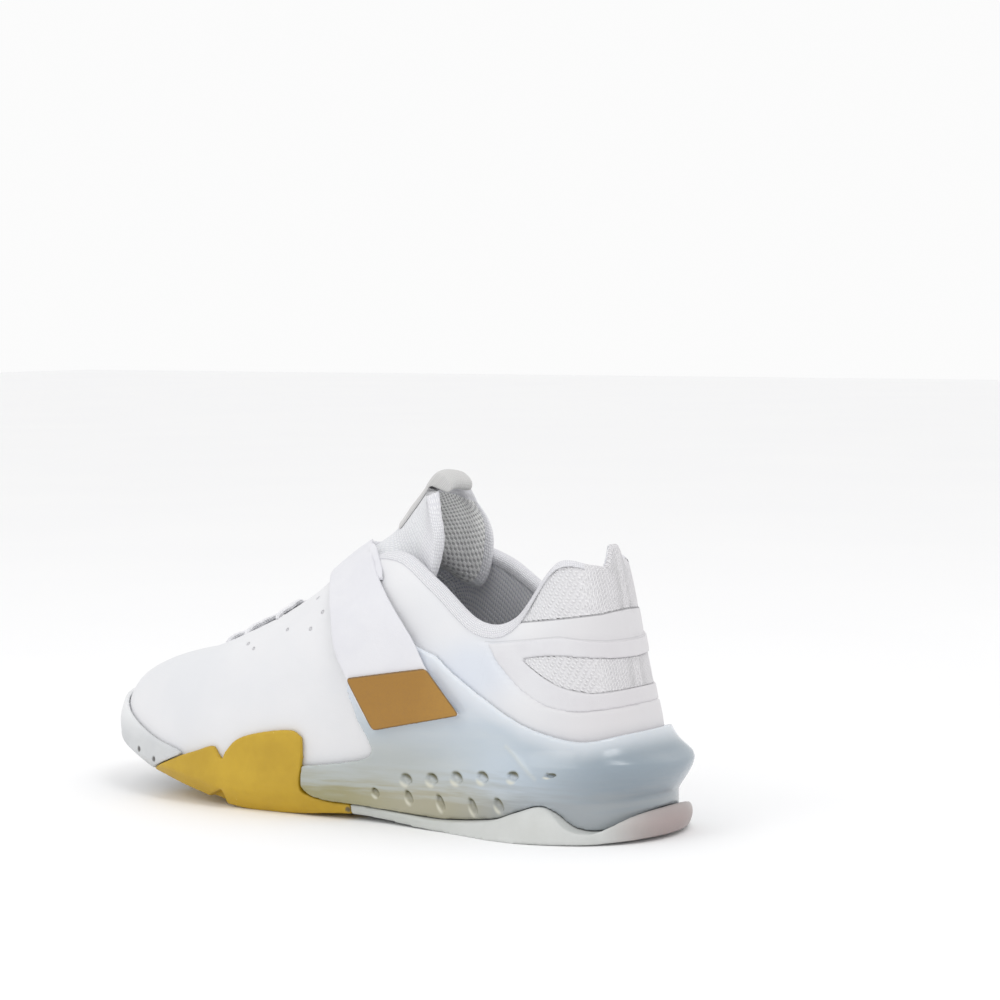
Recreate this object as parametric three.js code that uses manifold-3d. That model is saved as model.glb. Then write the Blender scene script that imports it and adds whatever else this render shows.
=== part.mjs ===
// A weightlifting shoe for the left foot, in millimetres.
// +X runs from heel to toe, +Y to the outer side of the foot and +Z up.
// The origin is the middle of the heel's tread, on the floor.
import * as THREE from "three";
import { mergeVertices } from "three/addons/utils/BufferGeometryUtils.js";
import Module from "manifold-3d";

const wasm = await Module();
wasm.setup();

// Driving sizes
const LENGTH = 290; // from the heel's ridge to the toe
const BALL_WIDTH = 98; // the upper at the ball of the foot
const HEEL_WIDTH = 68; // the upper at the heel
const HEEL_SEAT = 50; // from the heel's ridge to the origin
const HEEL_STACK = 34; // the foot bed above the floor, at the heel
const UPPER_HEIGHT = 81; // the unit of the upper's heights: its collar ends a little lower
const SOLE_FLARE = 10; // what the sole stands out by, at most of its places
const GAP = 0.3; // clearance between pieces that touch

// Walls and thicknesses
const UPPER_WALL = 2.2;
const COLLAR_PADDING = 3.6; // what the collar's foam adds to the wall
const SHELL_WALL = 2.1; // cage and outsole where they lie on the upper
const CORE_INSET = 5; // from the foot's edge in to the midsole's core
const TREAD_PLATE = 3; // the outsole under the core
const POCKET_DEPTH = 3.5;
const INSOLE_THICKNESS = 4;
const COUNTER_THICKNESS = 1.2;
const TONGUE_THICKNESS = 3.6;
const TONGUE_MARGIN = 6; // what the tongue has under the throat's edges
const STRAP_THICKNESS = 2.4;
const PATCH_THICKNESS = 1;
const LACE_WIDTH = 6.5;
const LACE_THICKNESS = 1.5;
const HEEL_TAB_HEIGHT = 9.5; // above the collar's rim, at the heel's back
const HEEL_TAB_LEAN = 0.15; // forward, as a share of its height
const PULL_TAB_WIDTH = 15;
const PULL_TAB_THICKNESS = 1.6;
const PULL_TAB_LENGTH = 24; // down the tongue's front

// Mesh density
const AROUND = 56; // columns round the shoe, an even number
const UP = 10; // rows from the foot's edge to the opening
const CURVE = 2; // points for each stretch of an outline
const POCKET_SIDES = 8; // an even number

// All section tables run from the heel's back to the toe in equal steps, the same on both sides.

// Where the wall meets the foot bed: x is a share of LENGTH, outer and inner of the half width.
const FOOT_EDGE = [
  { x: 0.033, outer: 0.0, inner: 0.0 },
  { x: 0.047, outer: 0.47, inner: 0.47 },
  { x: 0.092, outer: 0.8, inner: 0.8 },
  { x: 0.178, outer: 0.93, inner: 0.92 },
  { x: 0.3, outer: 0.92, inner: 0.85 },
  { x: 0.438, outer: 0.89, inner: 0.74 },
  { x: 0.575, outer: 0.93, inner: 0.82 },
  { x: 0.708, outer: 0.97, inner: 0.93 },
  { x: 0.838, outer: 0.85, inner: 0.95 },
  { x: 0.937, outer: 0.5, inner: 0.76 },
  { x: 0.983, outer: -0.13, inner: 0.13 },
];

// The rim of collar and throat: z is its height above the foot bed and crown how high the instep
// arches over the throat there, as shares of UPPER_HEIGHT.
const OPENING = [
  { x: 0.089, outer: 0.0, inner: 0.0, z: 0.905, innerZ: 0.905, crown: 0.0 },
  { x: 0.101, outer: 0.37, inner: 0.37, z: 0.93, innerZ: 0.93, crown: 0.0 },
  { x: 0.143, outer: 0.67, inner: 0.67, z: 0.935, innerZ: 0.935, crown: 0.0 },
  { x: 0.196, outer: 0.86, inner: 0.86, z: 0.665, innerZ: 0.69, crown: 0.05 },
  { x: 0.256, outer: 0.88, inner: 0.86, z: 0.635, innerZ: 0.705, crown: 0.09 },
  { x: 0.334, outer: 0.73, inner: 0.7, z: 0.825, innerZ: 0.895, crown: 0.13 },
  { x: 0.405, outer: 0.58, inner: 0.55, z: 0.955, innerZ: 0.955, crown: 0.14 },
  { x: 0.505, outer: 0.4, inner: 0.39, z: 0.86, innerZ: 0.86, crown: 0.085 },
  { x: 0.612, outer: 0.31, inner: 0.33, z: 0.64, innerZ: 0.64, crown: 0.035 },
  { x: 0.712, outer: 0.21, inner: 0.27, z: 0.46, innerZ: 0.46, crown: 0.025 },
  { x: 0.752, outer: -0.03, inner: 0.03, z: 0.4, innerZ: 0.4, crown: 0.02 },
];

// How the wall bends between those edges: bulge and reach are how far it stands out above the
// foot's edge and below the rim, as shares of the half width, rise and fall how far up and down
// these pulls act, as shares of UPPER_HEIGHT.
const WALL_BEND = [
  { bulge: -0.24, rise: 0.32, reach: 0.16, fall: 0.24 },
  { bulge: -0.2, rise: 0.31, reach: 0.16, fall: 0.24 },
  { bulge: -0.02, rise: 0.29, reach: 0.16, fall: 0.24 },
  { bulge: 0.09, rise: 0.25, reach: 0.08, fall: 0.2 },
  { bulge: 0.12, rise: 0.26, reach: 0.1, fall: 0.2 },
  { bulge: 0.1, rise: 0.3, reach: 0.2, fall: 0.24 },
  { bulge: 0.06, rise: 0.33, reach: 0.34, fall: 0.28 },
  { bulge: 0.05, rise: 0.31, reach: 0.42, fall: 0.22 },
  { bulge: 0.05, rise: 0.28, reach: 0.56, fall: 0.14 },
  { bulge: 0.06, rise: 0.26, reach: 0.76, fall: 0.11 },
  { bulge: 0.06, rise: 0.24, reach: 0.92, fall: 0.11 },
];

// The sole's side: how far its levels stand out from the foot's edge, as shares of SOLE_FLARE.
const SOLE_SIDE = [
  { tread: 0.85, ledge: 1.0, neck: 0.5, ridge: 1.2, shoulder: 0.49 },
  { tread: 0.9, ledge: 1.05, neck: 0.5, ridge: 1.15, shoulder: 0.47 },
  { tread: 1.2, ledge: 1.1, neck: 0.6, ridge: 0.9, shoulder: 0.45 },
  { tread: 1.6, ledge: 1.1, neck: 0.76, ridge: 0.72, shoulder: 0.42 },
  { tread: 1.0, ledge: 0.75, neck: 0.6, ridge: 0.56, shoulder: 0.38 },
  { tread: 0.2, ledge: 0.36, neck: 0.42, ridge: 0.42, shoulder: 0.34 },
  { tread: 0.0, ledge: 0.34, neck: 0.38, ridge: 0.37, shoulder: 0.32 },
  { tread: 0.0, ledge: 0.36, neck: 0.36, ridge: 0.35, shoulder: 0.32 },
  { tread: -0.1, ledge: 0.3, neck: 0.33, ridge: 0.34, shoulder: 0.32 },
  { tread: -0.15, ledge: 0.26, neck: 0.3, ridge: 0.32, shoulder: 0.31 },
  { tread: -0.15, ledge: 0.26, neck: 0.3, ridge: 0.32, shoulder: 0.31 },
];

// How high those levels are above the tread, as shares of HEEL_STACK
const SOLE_LEVELS = [
  { ledge: 0.17, neck: 0.46, ridge: 0.8, shoulder: 1.0 },
  { ledge: 0.2, neck: 0.46, ridge: 0.83, shoulder: 1.07 },
  { ledge: 0.27, neck: 0.46, ridge: 0.82, shoulder: 1.08 },
  { ledge: 0.27, neck: 0.45, ridge: 0.78, shoulder: 1.04 },
  { ledge: 0.27, neck: 0.44, ridge: 0.68, shoulder: 0.9 },
  { ledge: 0.24, neck: 0.36, ridge: 0.52, shoulder: 0.68 },
  { ledge: 0.22, neck: 0.33, ridge: 0.46, shoulder: 0.58 },
  { ledge: 0.2, neck: 0.28, ridge: 0.38, shoulder: 0.48 },
  { ledge: 0.12, neck: 0.2, ridge: 0.27, shoulder: 0.36 },
  { ledge: 0.1, neck: 0.18, ridge: 0.26, shoulder: 0.36 },
  { ledge: 0.1, neck: 0.18, ridge: 0.26, shoulder: 0.36 },
];

// Foot bed and tread along the shoe: x is a share of LENGTH, bed and tread of HEEL_STACK.
const BED_PROFILE = [
  { x: 0.0, bed: 1.03, tread: 0.05 },
  { x: 0.07, bed: 1.02, tread: 0.01 },
  { x: 0.15, bed: 1.0, tread: 0.0 },
  { x: 0.3, bed: 0.84, tread: 0.0 },
  { x: 0.45, bed: 0.64, tread: 0.07 },
  { x: 0.57, bed: 0.5, tread: 0.0 },
  { x: 0.65, bed: 0.45, tread: 0.01 },
  { x: 0.72, bed: 0.44, tread: 0.14 },
  { x: 0.84, bed: 0.57, tread: 0.36 },
  { x: 0.93, bed: 0.74, tread: 0.52 },
  { x: 1.0, bed: 0.9, tread: 0.68 },
];

// Outlines in the side view, x as shares of LENGTH and z of HEEL_STACK, from heel to toe.
const WAVE = [
  { x: -0.06, z: 0.46 },
  { x: 0.01, z: 0.37 },
  { x: 0.038, z: 0.23 },
  { x: 0.06, z: 0.145 },
  { x: 0.088, z: 0.18 },
  { x: 0.114, z: 0.34 },
  { x: 0.138, z: 0.41 },
  { x: 0.172, z: 0.32 },
  { x: 0.214, z: 0.2 },
  { x: 0.297, z: 0.13 },
  { x: 0.38, z: 0.16 },
  { x: 0.455, z: 0.2 },
];
const GOLD_TAIL = [
  { x: 0.455, z: 0.2 },
  { x: 0.489, z: 0.21 },
  { x: 0.52, z: 0.27 },
  { x: 0.534, z: 0.38 },
  { x: 0.529, z: 0.9 },
];
const GOLD_TOP = [
  { x: 0.536, z: 1.02 },
  { x: 0.552, z: 1.06 },
  { x: 0.59, z: 1.02 },
  { x: 0.629, z: 0.94 },
  { x: 0.65, z: 0.85 },
  { x: 0.663, z: 0.74 },
];
const GOLD_FRONT = [
  { x: 0.672, z: 0.59 },
  { x: 0.681, z: 0.7 },
  { x: 0.692, z: 0.77 },
  { x: 0.722, z: 0.69 },
  { x: 0.752, z: 0.61 },
];
const TOE_SEAM = { top: 0.752, topZ: 0.61, low: 0.828, lowZ: 0.36, slit: 0.004 };
const TOE_TOP = [
  { x: 0.762, z: 0.66 },
  { x: 0.814, z: 0.76 },
  { x: 0.86, z: 0.88 },
  { x: 0.9, z: 1.0 },
  { x: 0.95, z: 1.15 },
  { x: 1.06, z: 1.3 },
];
// The ends of the tread's flex groove, cut only into the sole's rim, outside the core
const FLEX_NOTCH = [
  { x: 0.675, z: 0.0 },
  { x: 0.672, z: 0.25 },
  { x: 0.705, z: 0.13 },
  { x: 0.715, z: 0.0 },
];
const FLEX_NOTCH_SIDE = 0.45 * BALL_WIDTH; // from the middle
const CAGE_TOP = [
  { x: -0.06, z: 1.32 },
  { x: 0.03, z: 1.27 },
  { x: 0.076, z: 1.18 },
  { x: 0.115, z: 1.2 },
  { x: 0.174, z: 1.34 },
  { x: 0.238, z: 1.63 },
  { x: 0.304, z: 2.01 },
  { x: 0.376, z: 2.58 },
];
const CAGE_FRONT = [
  { x: 0.41, z: 2.5 },
  { x: 0.452, z: 1.75 },
  { x: 0.441, z: 1.32 },
  { x: 0.421, z: 0.98 },
  { x: 0.42, z: 0.85 },
  { x: 0.435, z: 0.76 },
  { x: 0.485, z: 0.68 },
];
const CAGE_CORNER = 0.63; // where it ends on the gold rubber

// The counter's raised rim round its knit window, x as shares of LENGTH and z of HEEL_STACK
const COUNTER_BACK = -0.06; // behind the heel
const COUNTER_RIM = { topZ: 2.34, tip: 0.235, tipZ: 2.25, low: 0.1, lowZ: 1.5, backZ: 1.8 };
const COUNTER_WINDOW = { topZ: 2.14, tip: 0.182, tipZ: 2.08, low: 0.08, lowZ: 1.71, backZ: 1.97 };
const COUNTER_BELLY = { x: 0.77, z: 0.32 }; // between its lowest point and its tip

// The strap's front and rear edges on the shoe's outer side, x as shares of LENGTH and z of
// UPPER_HEIGHT above the floor. Across the shoe the strap runs forward by STRAP_SLANT.
const STRAP_SLANT = 0.7;
const STRAP_SIDE = 0.42 * BALL_WIDTH; // how far from the middle the table holds
const STRAP_EDGES = [
  { front: 0.414, frontZ: 0.48, rear: 0.262, rearZ: 0.59 },
  { front: 0.44, frontZ: 0.605, rear: 0.297, rearZ: 0.715 },
  { front: 0.461, frontZ: 0.74, rear: 0.32, rearZ: 0.815 },
  { front: 0.482, frontZ: 0.88, rear: 0.343, rearZ: 0.95 },
  { front: 0.49, frontZ: 1.05, rear: 0.386, rearZ: 1.15 },
  { front: 0.494, frontZ: 1.16, rear: 0.414, rearZ: 1.33 },
  { front: 0.5, frontZ: 1.4, rear: 0.43, rearZ: 1.6 },
];
const PATCH_TOP = { front: 0.461, frontZ: 0.74, rear: 0.32, rearZ: 0.815 };

// The tongue above the throat: the middle and the side edges of each section and its half width,
// as shares of LENGTH, UPPER_HEIGHT and HEEL_WIDTH.
const TONGUE_TOP = [
  { x: 0.466, z: 1.475, sideX: 0.38, sideZ: 1.17, half: 0.33 },
  { x: 0.436, z: 1.58, sideX: 0.356, sideZ: 1.39, half: 0.31 },
  { x: 0.412, z: 1.665, sideX: 0.367, sideZ: 1.55, half: 0.275 },
  { x: 0.403, z: 1.7, sideX: 0.386, sideZ: 1.65, half: 0.2 },
];

// Pockets in the cage's side: two rows, x as shares of LENGTH and z of HEEL_STACK
const POCKET_TILT = -0.45; // radians
const POCKET_ROWS = [
  { count: 6, first: 0.12, last: 0.36, firstZ: 0.8, lastZ: 0.57, width: 0.019, height: 0.26 },
  { count: 5, first: 0.202, last: 0.4, firstZ: 0.41, lastZ: 0.33, width: 0.019, height: 0.23 },
];

// Values between table rows

function cubic(p0, p1, p2, p3, t) {
  const slopeIn = (p2 - p0) / 2;
  const slopeOut = (p3 - p1) / 2;
  const t2 = t * t;
  const t3 = t2 * t;
  const steady = p1 * (2 * t3 - 3 * t2 + 1) + p2 * (3 * t2 - 2 * t3);
  return steady + slopeIn * (t3 - 2 * t2 + t) + slopeOut * (t3 - t2);
}

// Reads a table round the shoe: u is 0 at the heel, 1 at the toe and 2 at the heel again.
function around(rows, u, outer, inner = outer, innerSign = 1) {
  const last = rows.length - 1;
  const position = THREE.MathUtils.euclideanModulo(u, 2) * last;
  const index = Math.floor(position);
  const value = (i) => {
    const k = THREE.MathUtils.euclideanModulo(i, 2 * last);
    return k <= last ? rows[k][outer] : innerSign * rows[2 * last - k][inner];
  };
  return cubic(value(index - 1), value(index), value(index + 1), value(index + 2), position - index);
}

// Reads a table along x.
function along(rows, x, name) {
  const at = (k) => rows[THREE.MathUtils.clamp(k, 0, rows.length - 1)];
  let i = 0;
  while (i < rows.length - 2 && x > rows[i + 1].x) i++;
  const t = (x - at(i).x) / (at(i + 1).x - at(i).x);
  return cubic(at(i - 1)[name], at(i)[name], at(i + 1)[name], at(i + 2)[name], t);
}

const bedZ = (x) => HEEL_STACK * along(BED_PROFILE, x / LENGTH, "bed");
const treadZ = (x) => HEEL_STACK * Math.max(0, along(BED_PROFILE, x / LENGTH, "tread"));

// Half the upper's width, from the heel to the ball
function halfWidth(x) {
  return THREE.MathUtils.lerp(HEEL_WIDTH, BALL_WIDTH, THREE.MathUtils.smoothstep(x / LENGTH, 0.2, 0.6)) / 2;
}

// The upper's outer surface

function footPoint(u) {
  const x = around(FOOT_EDGE, u, "x") * LENGTH;
  return new THREE.Vector3(x, around(FOOT_EDGE, u, "outer", "inner", -1) * halfWidth(x), bedZ(x) + GAP);
}

function edgePoint(u) {
  const x = around(OPENING, u, "x") * LENGTH;
  const y = around(OPENING, u, "outer", "inner", -1) * halfWidth(x);
  const tab = HEEL_TAB_HEIGHT * heelTab(u);
  const z = HEEL_STACK + UPPER_HEIGHT * around(OPENING, u, "z", "innerZ") + tab;
  return new THREE.Vector3(x + HEEL_TAB_LEAN * tab, y, z);
}

// 1 on the heel tab and 0 beside it
const HEEL_TAB_FULL = 0.015; // how far from the heel, in u
const HEEL_TAB_END = 0.055;
function heelTab(u) {
  return 1 - THREE.MathUtils.smoothstep(Math.min(u, 2 - u), HEEL_TAB_FULL, HEEL_TAB_END);
}

const STEP = 0.004; // for slopes, in u and v

// The outward direction of a loop, seen from above
function planNormal(loop, u) {
  const d = loop(u + STEP).sub(loop(u - STEP));
  return new THREE.Vector3(-d.y, d.x, 0).normalize();
}

// u goes round the shoe and v from the foot's edge to the opening.
function wall(u, v) {
  const foot = footPoint(u);
  const edge = edgePoint(u);
  const half = halfWidth(foot.x);
  const low = foot.clone().addScaledVector(planNormal(footPoint, u), around(WALL_BEND, u, "bulge") * half);
  low.z += around(WALL_BEND, u, "rise") * UPPER_HEIGHT;
  const high = edge.clone().addScaledVector(planNormal(edgePoint, u), around(WALL_BEND, u, "reach") * half);
  high.z -= around(WALL_BEND, u, "fall") * UPPER_HEIGHT;
  return new THREE.CubicBezierCurve3(foot, low, high, edge).getPoint(v);
}

function wallNormal(u, v) {
  const du = wall(u + STEP, v).sub(wall(u - STEP, v));
  const dv = wall(u, Math.min(v + STEP, 1)).sub(wall(u, Math.max(v - STEP, 0)));
  return dv.cross(du).normalize();
}

const wallOffset = (u, v, distance) => wall(u, v).addScaledVector(wallNormal(u, v), distance);

// A point over the throat: k is 1 at the outer rim, 0 in the middle and -1 at the inner rim.
const INSTEP_NORMAL = new THREE.Vector3(0.5, 0, 0.87).normalize();

function throatPoint(u, k, distance) {
  const p = edgePoint(u);
  p.y *= k;
  const crown = around(OPENING, u, "crown") * UPPER_HEIGHT * (1 - k * k);
  return p.addScaledVector(INSTEP_NORMAL, crown + distance);
}

// Closed meshes

class MeshBuilder {
  constructor() {
    this.points = [];
    this.faces = [];
  }
  add(point) {
    this.points.push(point.x, point.y, point.z);
    return this.points.length / 3 - 1;
  }
  triangle(a, b, c) {
    if (a !== b && b !== c && c !== a) this.faces.push(a, b, c);
  }
  quad(a, b, c, d) {
    this.triangle(a, b, c);
    this.triangle(a, c, d);
  }
  solid() {
    return makeSolid(new Float32Array(this.points), new Uint32Array(this.faces));
  }
}

function makeSolid(vertProperties, triVerts) {
  return new wasm.Manifold(new wasm.Mesh({ numProp: 3, vertProperties, triVerts }));
}

function solidOf(geometry) {
  geometry.deleteAttribute("normal");
  geometry.deleteAttribute("uv");
  const merged = mergeVertices(geometry);
  const points = merged.getAttribute("position").array;
  return makeSolid(new Float32Array(points), new Uint32Array(merged.index.array));
}

function geometryOf(solid) {
  const mesh = solid.getMesh();
  const geometry = new THREE.BufferGeometry();
  geometry.setAttribute("position", new THREE.BufferAttribute(new Float32Array(mesh.vertProperties), 3));
  geometry.setIndex(new THREE.BufferAttribute(new Uint32Array(mesh.triVerts), 1));
  geometry.computeVertexNormals();
  return geometry;
}

// A thick sheet between two grids of points: each row has its outer and inner points.
function thickSheet(rows, closed) {
  const mesh = new MeshBuilder();
  const ids = rows.map((row) => ({
    outer: row.outer.map((p) => mesh.add(p)),
    inner: row.inner.map((p) => mesh.add(p)),
  }));
  const top = rows[0].outer.length - 1;
  const steps = closed ? rows.length : rows.length - 1;
  for (let i = 0; i < steps; i++) {
    const a = ids[i];
    const b = ids[(i + 1) % rows.length];
    for (let j = 0; j < top; j++) {
      mesh.quad(a.outer[j], a.outer[j + 1], b.outer[j + 1], b.outer[j]);
      mesh.quad(a.inner[j], b.inner[j], b.inner[j + 1], a.inner[j + 1]);
    }
    mesh.quad(a.outer[0], b.outer[0], b.inner[0], a.inner[0]);
    mesh.quad(a.outer[top], a.inner[top], b.inner[top], b.outer[top]);
  }
  if (!closed) {
    const first = ids[0];
    const last = ids[rows.length - 1];
    for (let j = 0; j < top; j++) {
      mesh.quad(first.outer[j], first.inner[j], first.inner[j + 1], first.outer[j + 1]);
      mesh.quad(last.outer[j], last.outer[j + 1], last.inner[j + 1], last.inner[j]);
    }
  }
  return mesh.solid();
}

// A solid through loops round the shoe, lowest first. Its caps run straight across the shoe.
function loft(loops) {
  const mesh = new MeshBuilder();
  const ids = loops.map((loop) => loop.map((p) => mesh.add(p)));
  const count = loops[0].length;
  for (let k = 0; k < loops.length - 1; k++) {
    for (let i = 0; i < count; i++) {
      const next = (i + 1) % count;
      mesh.quad(ids[k][i], ids[k + 1][i], ids[k + 1][next], ids[k][next]);
    }
  }
  const bottom = ids[0];
  const top = ids[loops.length - 1];
  for (let i = 0; i < count / 2; i++) {
    const far = (count - i) % count;
    const farNext = count - i - 1;
    mesh.quad(top[i], top[far], top[farNext], top[i + 1]);
    mesh.quad(bottom[i], bottom[i + 1], bottom[farNext], bottom[far]);
  }
  return mesh.solid();
}

// A side-view outline, x along the shoe and y up, run across the shoe between two y values
const ACROSS = BALL_WIDTH; // more than the shoe's half width
function sidePrism(shape, yLow = -ACROSS, yHigh = ACROSS) {
  const options = { depth: yHigh - yLow, bevelEnabled: false, curveSegments: CURVE };
  const geometry = new THREE.ExtrudeGeometry(shape, options);
  geometry.rotateX(Math.PI / 2);
  geometry.translate(0, yHigh, 0);
  return solidOf(geometry);
}

// Table rows as points in the side view, raised by a distance
const sidePoint = (x, z) => new THREE.Vector2(x * LENGTH, z * HEEL_STACK);
const sidePoints = (rows, lift = 0) => rows.map((r) => sidePoint(r.x, r.z).setY(r.z * HEEL_STACK + lift));

const UNDER_FLOOR = -1; // where outlines end below the tread

const roundShoe = Array.from({ length: AROUND }, (_, i) => (2 * i) / AROUND);
const upWall = Array.from({ length: UP + 1 }, (_, j) => j / UP);

// Upper

// The wall is thin at the sole and the throat, and padded round the collar.
function upperThickness(u, v) {
  const fromHeel = Math.min(u, 2 - u);
  const collar = 1 - THREE.MathUtils.smoothstep(fromHeel, 0.5, 0.66);
  const padding = COLLAR_PADDING * (1 - 0.7 * heelTab(u));
  return UPPER_WALL + padding * collar * THREE.MathUtils.smoothstep(v, 0.35, 0.85);
}

function upperInside(u, v, clearance) {
  const p = wallOffset(u, v, -upperThickness(u, v) - clearance);
  if (v === 0) p.z = footPoint(u).z;
  return p;
}

function buildUpper() {
  const rows = roundShoe.map((u) => ({
    outer: upWall.map((v) => wall(u, v)),
    inner: upWall.map((v) => upperInside(u, v, 0)),
  }));
  return thickSheet(rows, true);
}

// The upper's form grown by a distance, filled, up to a height on its wall
function upperForm(distance, topV) {
  const levels = upWall.filter((v) => v < topV).concat(topV);
  return loft(
    levels.map((v) =>
      roundShoe.map((u) => {
        const p = wallOffset(u, v, distance);
        if (v === 0) p.z = footPoint(u).z - GAP;
        return p;
      }),
    ),
  );
}

// Sole

// One level of the sole's side, standing out from the foot's edge. Without a height it is the tread.
function soleLevel(flare, height, grow = 0) {
  return roundShoe.map((u) => {
    const p = footPoint(u);
    p.addScaledVector(planNormal(footPoint, u), around(SOLE_SIDE, u, flare) * SOLE_FLARE + grow);
    p.z = treadZ(p.x) + (height ? around(SOLE_LEVELS, u, height) * HEEL_STACK : 0);
    return p;
  });
}

const HUG_LEVELS = [0.16, 0.28, 0.4, 0.52, 0.64];

// Where the sole lies on the upper
function soleUpperLevels(grow = 0) {
  const shoulder = soleLevel("shoulder", "shoulder", grow);
  const hug = HUG_LEVELS.map((v) => roundShoe.map((u) => wallOffset(u, v, SHELL_WALL + GAP + grow)));
  return [soleLevel("ridge", "ridge", grow), shoulder, ...hug];
}

// The cage's form goes straight down from its neck, the outsole's flares out to its ledge.
function cageForm(grow) {
  return loft([soleLevel("neck", null, grow), soleLevel("neck", "neck", grow), ...soleUpperLevels(grow)]);
}

function outsoleForm() {
  const low = [soleLevel("tread"), soleLevel("ledge", "ledge"), soleLevel("neck", "neck")];
  return loft([...low, ...soleUpperLevels()]);
}

function coreForm(grow) {
  const loop = (height) =>
    roundShoe.map((u) => {
      const p = footPoint(u).addScaledVector(planNormal(footPoint, u), grow - CORE_INSET);
      p.z = height(p.x);
      return p;
    });
  return loft([loop((x) => treadZ(x) + TREAD_PLATE - grow), loop((x) => bedZ(x) + grow)]);
}

function heelOutsoleOutline() {
  const wave = sidePoints(WAVE);
  const shape = new THREE.Shape();
  shape.moveTo(wave[0].x, UNDER_FLOOR);
  shape.lineTo(wave[0].x, wave[0].y);
  shape.splineThru(wave.slice(1));
  shape.lineTo(wave[wave.length - 1].x, UNDER_FLOOR);
  return shape;
}

function goldOutline() {
  const tail = sidePoints(GOLD_TAIL);
  const shape = new THREE.Shape();
  shape.moveTo(tail[0].x + GAP, UNDER_FLOOR);
  shape.lineTo(tail[0].x + GAP, tail[0].y);
  shape.splineThru(tail.slice(1));
  shape.splineThru(sidePoints(GOLD_TOP));
  shape.lineTo(GOLD_FRONT[0].x * LENGTH, GOLD_FRONT[0].z * HEEL_STACK);
  shape.splineThru(sidePoints(GOLD_FRONT).slice(1));
  shape.lineTo(TOE_SEAM.low * LENGTH, TOE_SEAM.lowZ * HEEL_STACK);
  shape.lineTo(TOE_SEAM.low * LENGTH, UNDER_FLOOR);
  return shape;
}

function toeOutline() {
  const slit = TOE_SEAM.slit * LENGTH;
  const shape = new THREE.Shape();
  shape.moveTo(TOE_SEAM.low * LENGTH + slit, UNDER_FLOOR);
  shape.lineTo(TOE_SEAM.low * LENGTH + slit, TOE_SEAM.lowZ * HEEL_STACK);
  shape.lineTo(TOE_SEAM.top * LENGTH + slit, TOE_SEAM.topZ * HEEL_STACK);
  shape.splineThru(sidePoints(TOE_TOP));
  shape.lineTo(TOE_TOP[TOE_TOP.length - 1].x * LENGTH, UNDER_FLOOR);
  return shape;
}

function cageOutline() {
  const wave = sidePoints(WAVE, GAP);
  const tail = sidePoints(GOLD_TAIL, 1.5 * GAP).slice(1, 4).map((p) => p.setX(p.x - 2 * GAP));
  const corner = tail[2].clone().setY(CAGE_CORNER * HEEL_STACK);
  const shape = new THREE.Shape();
  shape.moveTo(wave[0].x, wave[0].y);
  shape.splineThru(wave.slice(1));
  shape.splineThru(tail);
  shape.lineTo(corner.x, corner.y);
  shape.splineThru(sidePoints(CAGE_FRONT).reverse());
  shape.splineThru(sidePoints(CAGE_TOP).reverse());
  return shape;
}

// Slanted oval pockets that show the core's colour
function pocketOutline(row, t) {
  const x = THREE.MathUtils.lerp(row.first, row.last, t);
  const z = THREE.MathUtils.lerp(row.firstZ, row.lastZ, t);
  const centre = sidePoint(x, z);
  const corners = Array.from({ length: POCKET_SIDES }, (_, i) => {
    const angle = (2 * Math.PI * i) / POCKET_SIDES;
    const corner = sidePoint((row.width * Math.cos(angle)) / 2, (row.height * Math.sin(angle)) / 2);
    return corner.rotateAround(new THREE.Vector2(), POCKET_TILT).add(centre);
  });
  return new THREE.Shape(corners);
}

function pocketCutters() {
  return POCKET_ROWS.flatMap((row) =>
    Array.from({ length: row.count }, (_, i) => sidePrism(pocketOutline(row, i / (row.count - 1)))),
  );
}

// The flex groove's end on one side of the forefoot
function notchCutter(side) {
  const shape = new THREE.Shape(sidePoints(FLEX_NOTCH, UNDER_FLOOR));
  return side > 0 ? sidePrism(shape, FLEX_NOTCH_SIDE, ACROSS) : sidePrism(shape, -ACROSS, -FLEX_NOTCH_SIDE);
}

function buildSole() {
  const core = coreForm(0);
  const room = coreForm(GAP).add(upperForm(GAP, 0.9));
  const outsole = outsoleForm().subtract(room);
  let cage = cageForm(0).subtract(room).intersect(sidePrism(cageOutline()));
  const forefoot = outsole.intersect(sidePrism(goldOutline()));
  const pocketFloor = cageForm(-POCKET_DEPTH);
  for (const cutter of pocketCutters()) cage = cage.subtract(cutter.subtract(pocketFloor));
  return {
    core,
    cage,
    heel: outsole.intersect(sidePrism(heelOutsoleOutline())),
    forefoot: forefoot.subtract(notchCutter(1)).subtract(notchCutter(-1)),
    toe: outsole.intersect(sidePrism(toeOutline())),
  };
}

// Insole

function buildInsole() {
  const inset = UPPER_WALL + 2 * GAP;
  // The upper leans in at the heel, so each loop keeps clear of the wall at its own height.
  const loop = (height) =>
    roundShoe.map((u) => {
      const rise = 3 * around(WALL_BEND, u, "rise") * UPPER_HEIGHT;
      const p = wall(u, height / rise).addScaledVector(planNormal(footPoint, u), -inset);
      p.z = bedZ(p.x) + height;
      return p;
    });
  return loft([loop(GAP), loop(GAP + INSOLE_THICKNESS)]);
}

// Heel counter: a raised rim round a window

function lensShape(lens) {
  const at = sidePoint;
  const shape = new THREE.Shape();
  const start = at(COUNTER_BACK, lens.topZ);
  shape.moveTo(start.x, start.y);
  shape.splineThru([at(lens.low, lens.topZ), at(lens.tip, lens.tipZ)]);
  const belly = at(lens.tip * COUNTER_BELLY.x, THREE.MathUtils.lerp(lens.lowZ, lens.tipZ, COUNTER_BELLY.z));
  shape.splineThru([belly, at(lens.low, lens.lowZ), at(COUNTER_BACK, lens.backZ)]);
  return shape;
}

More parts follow.
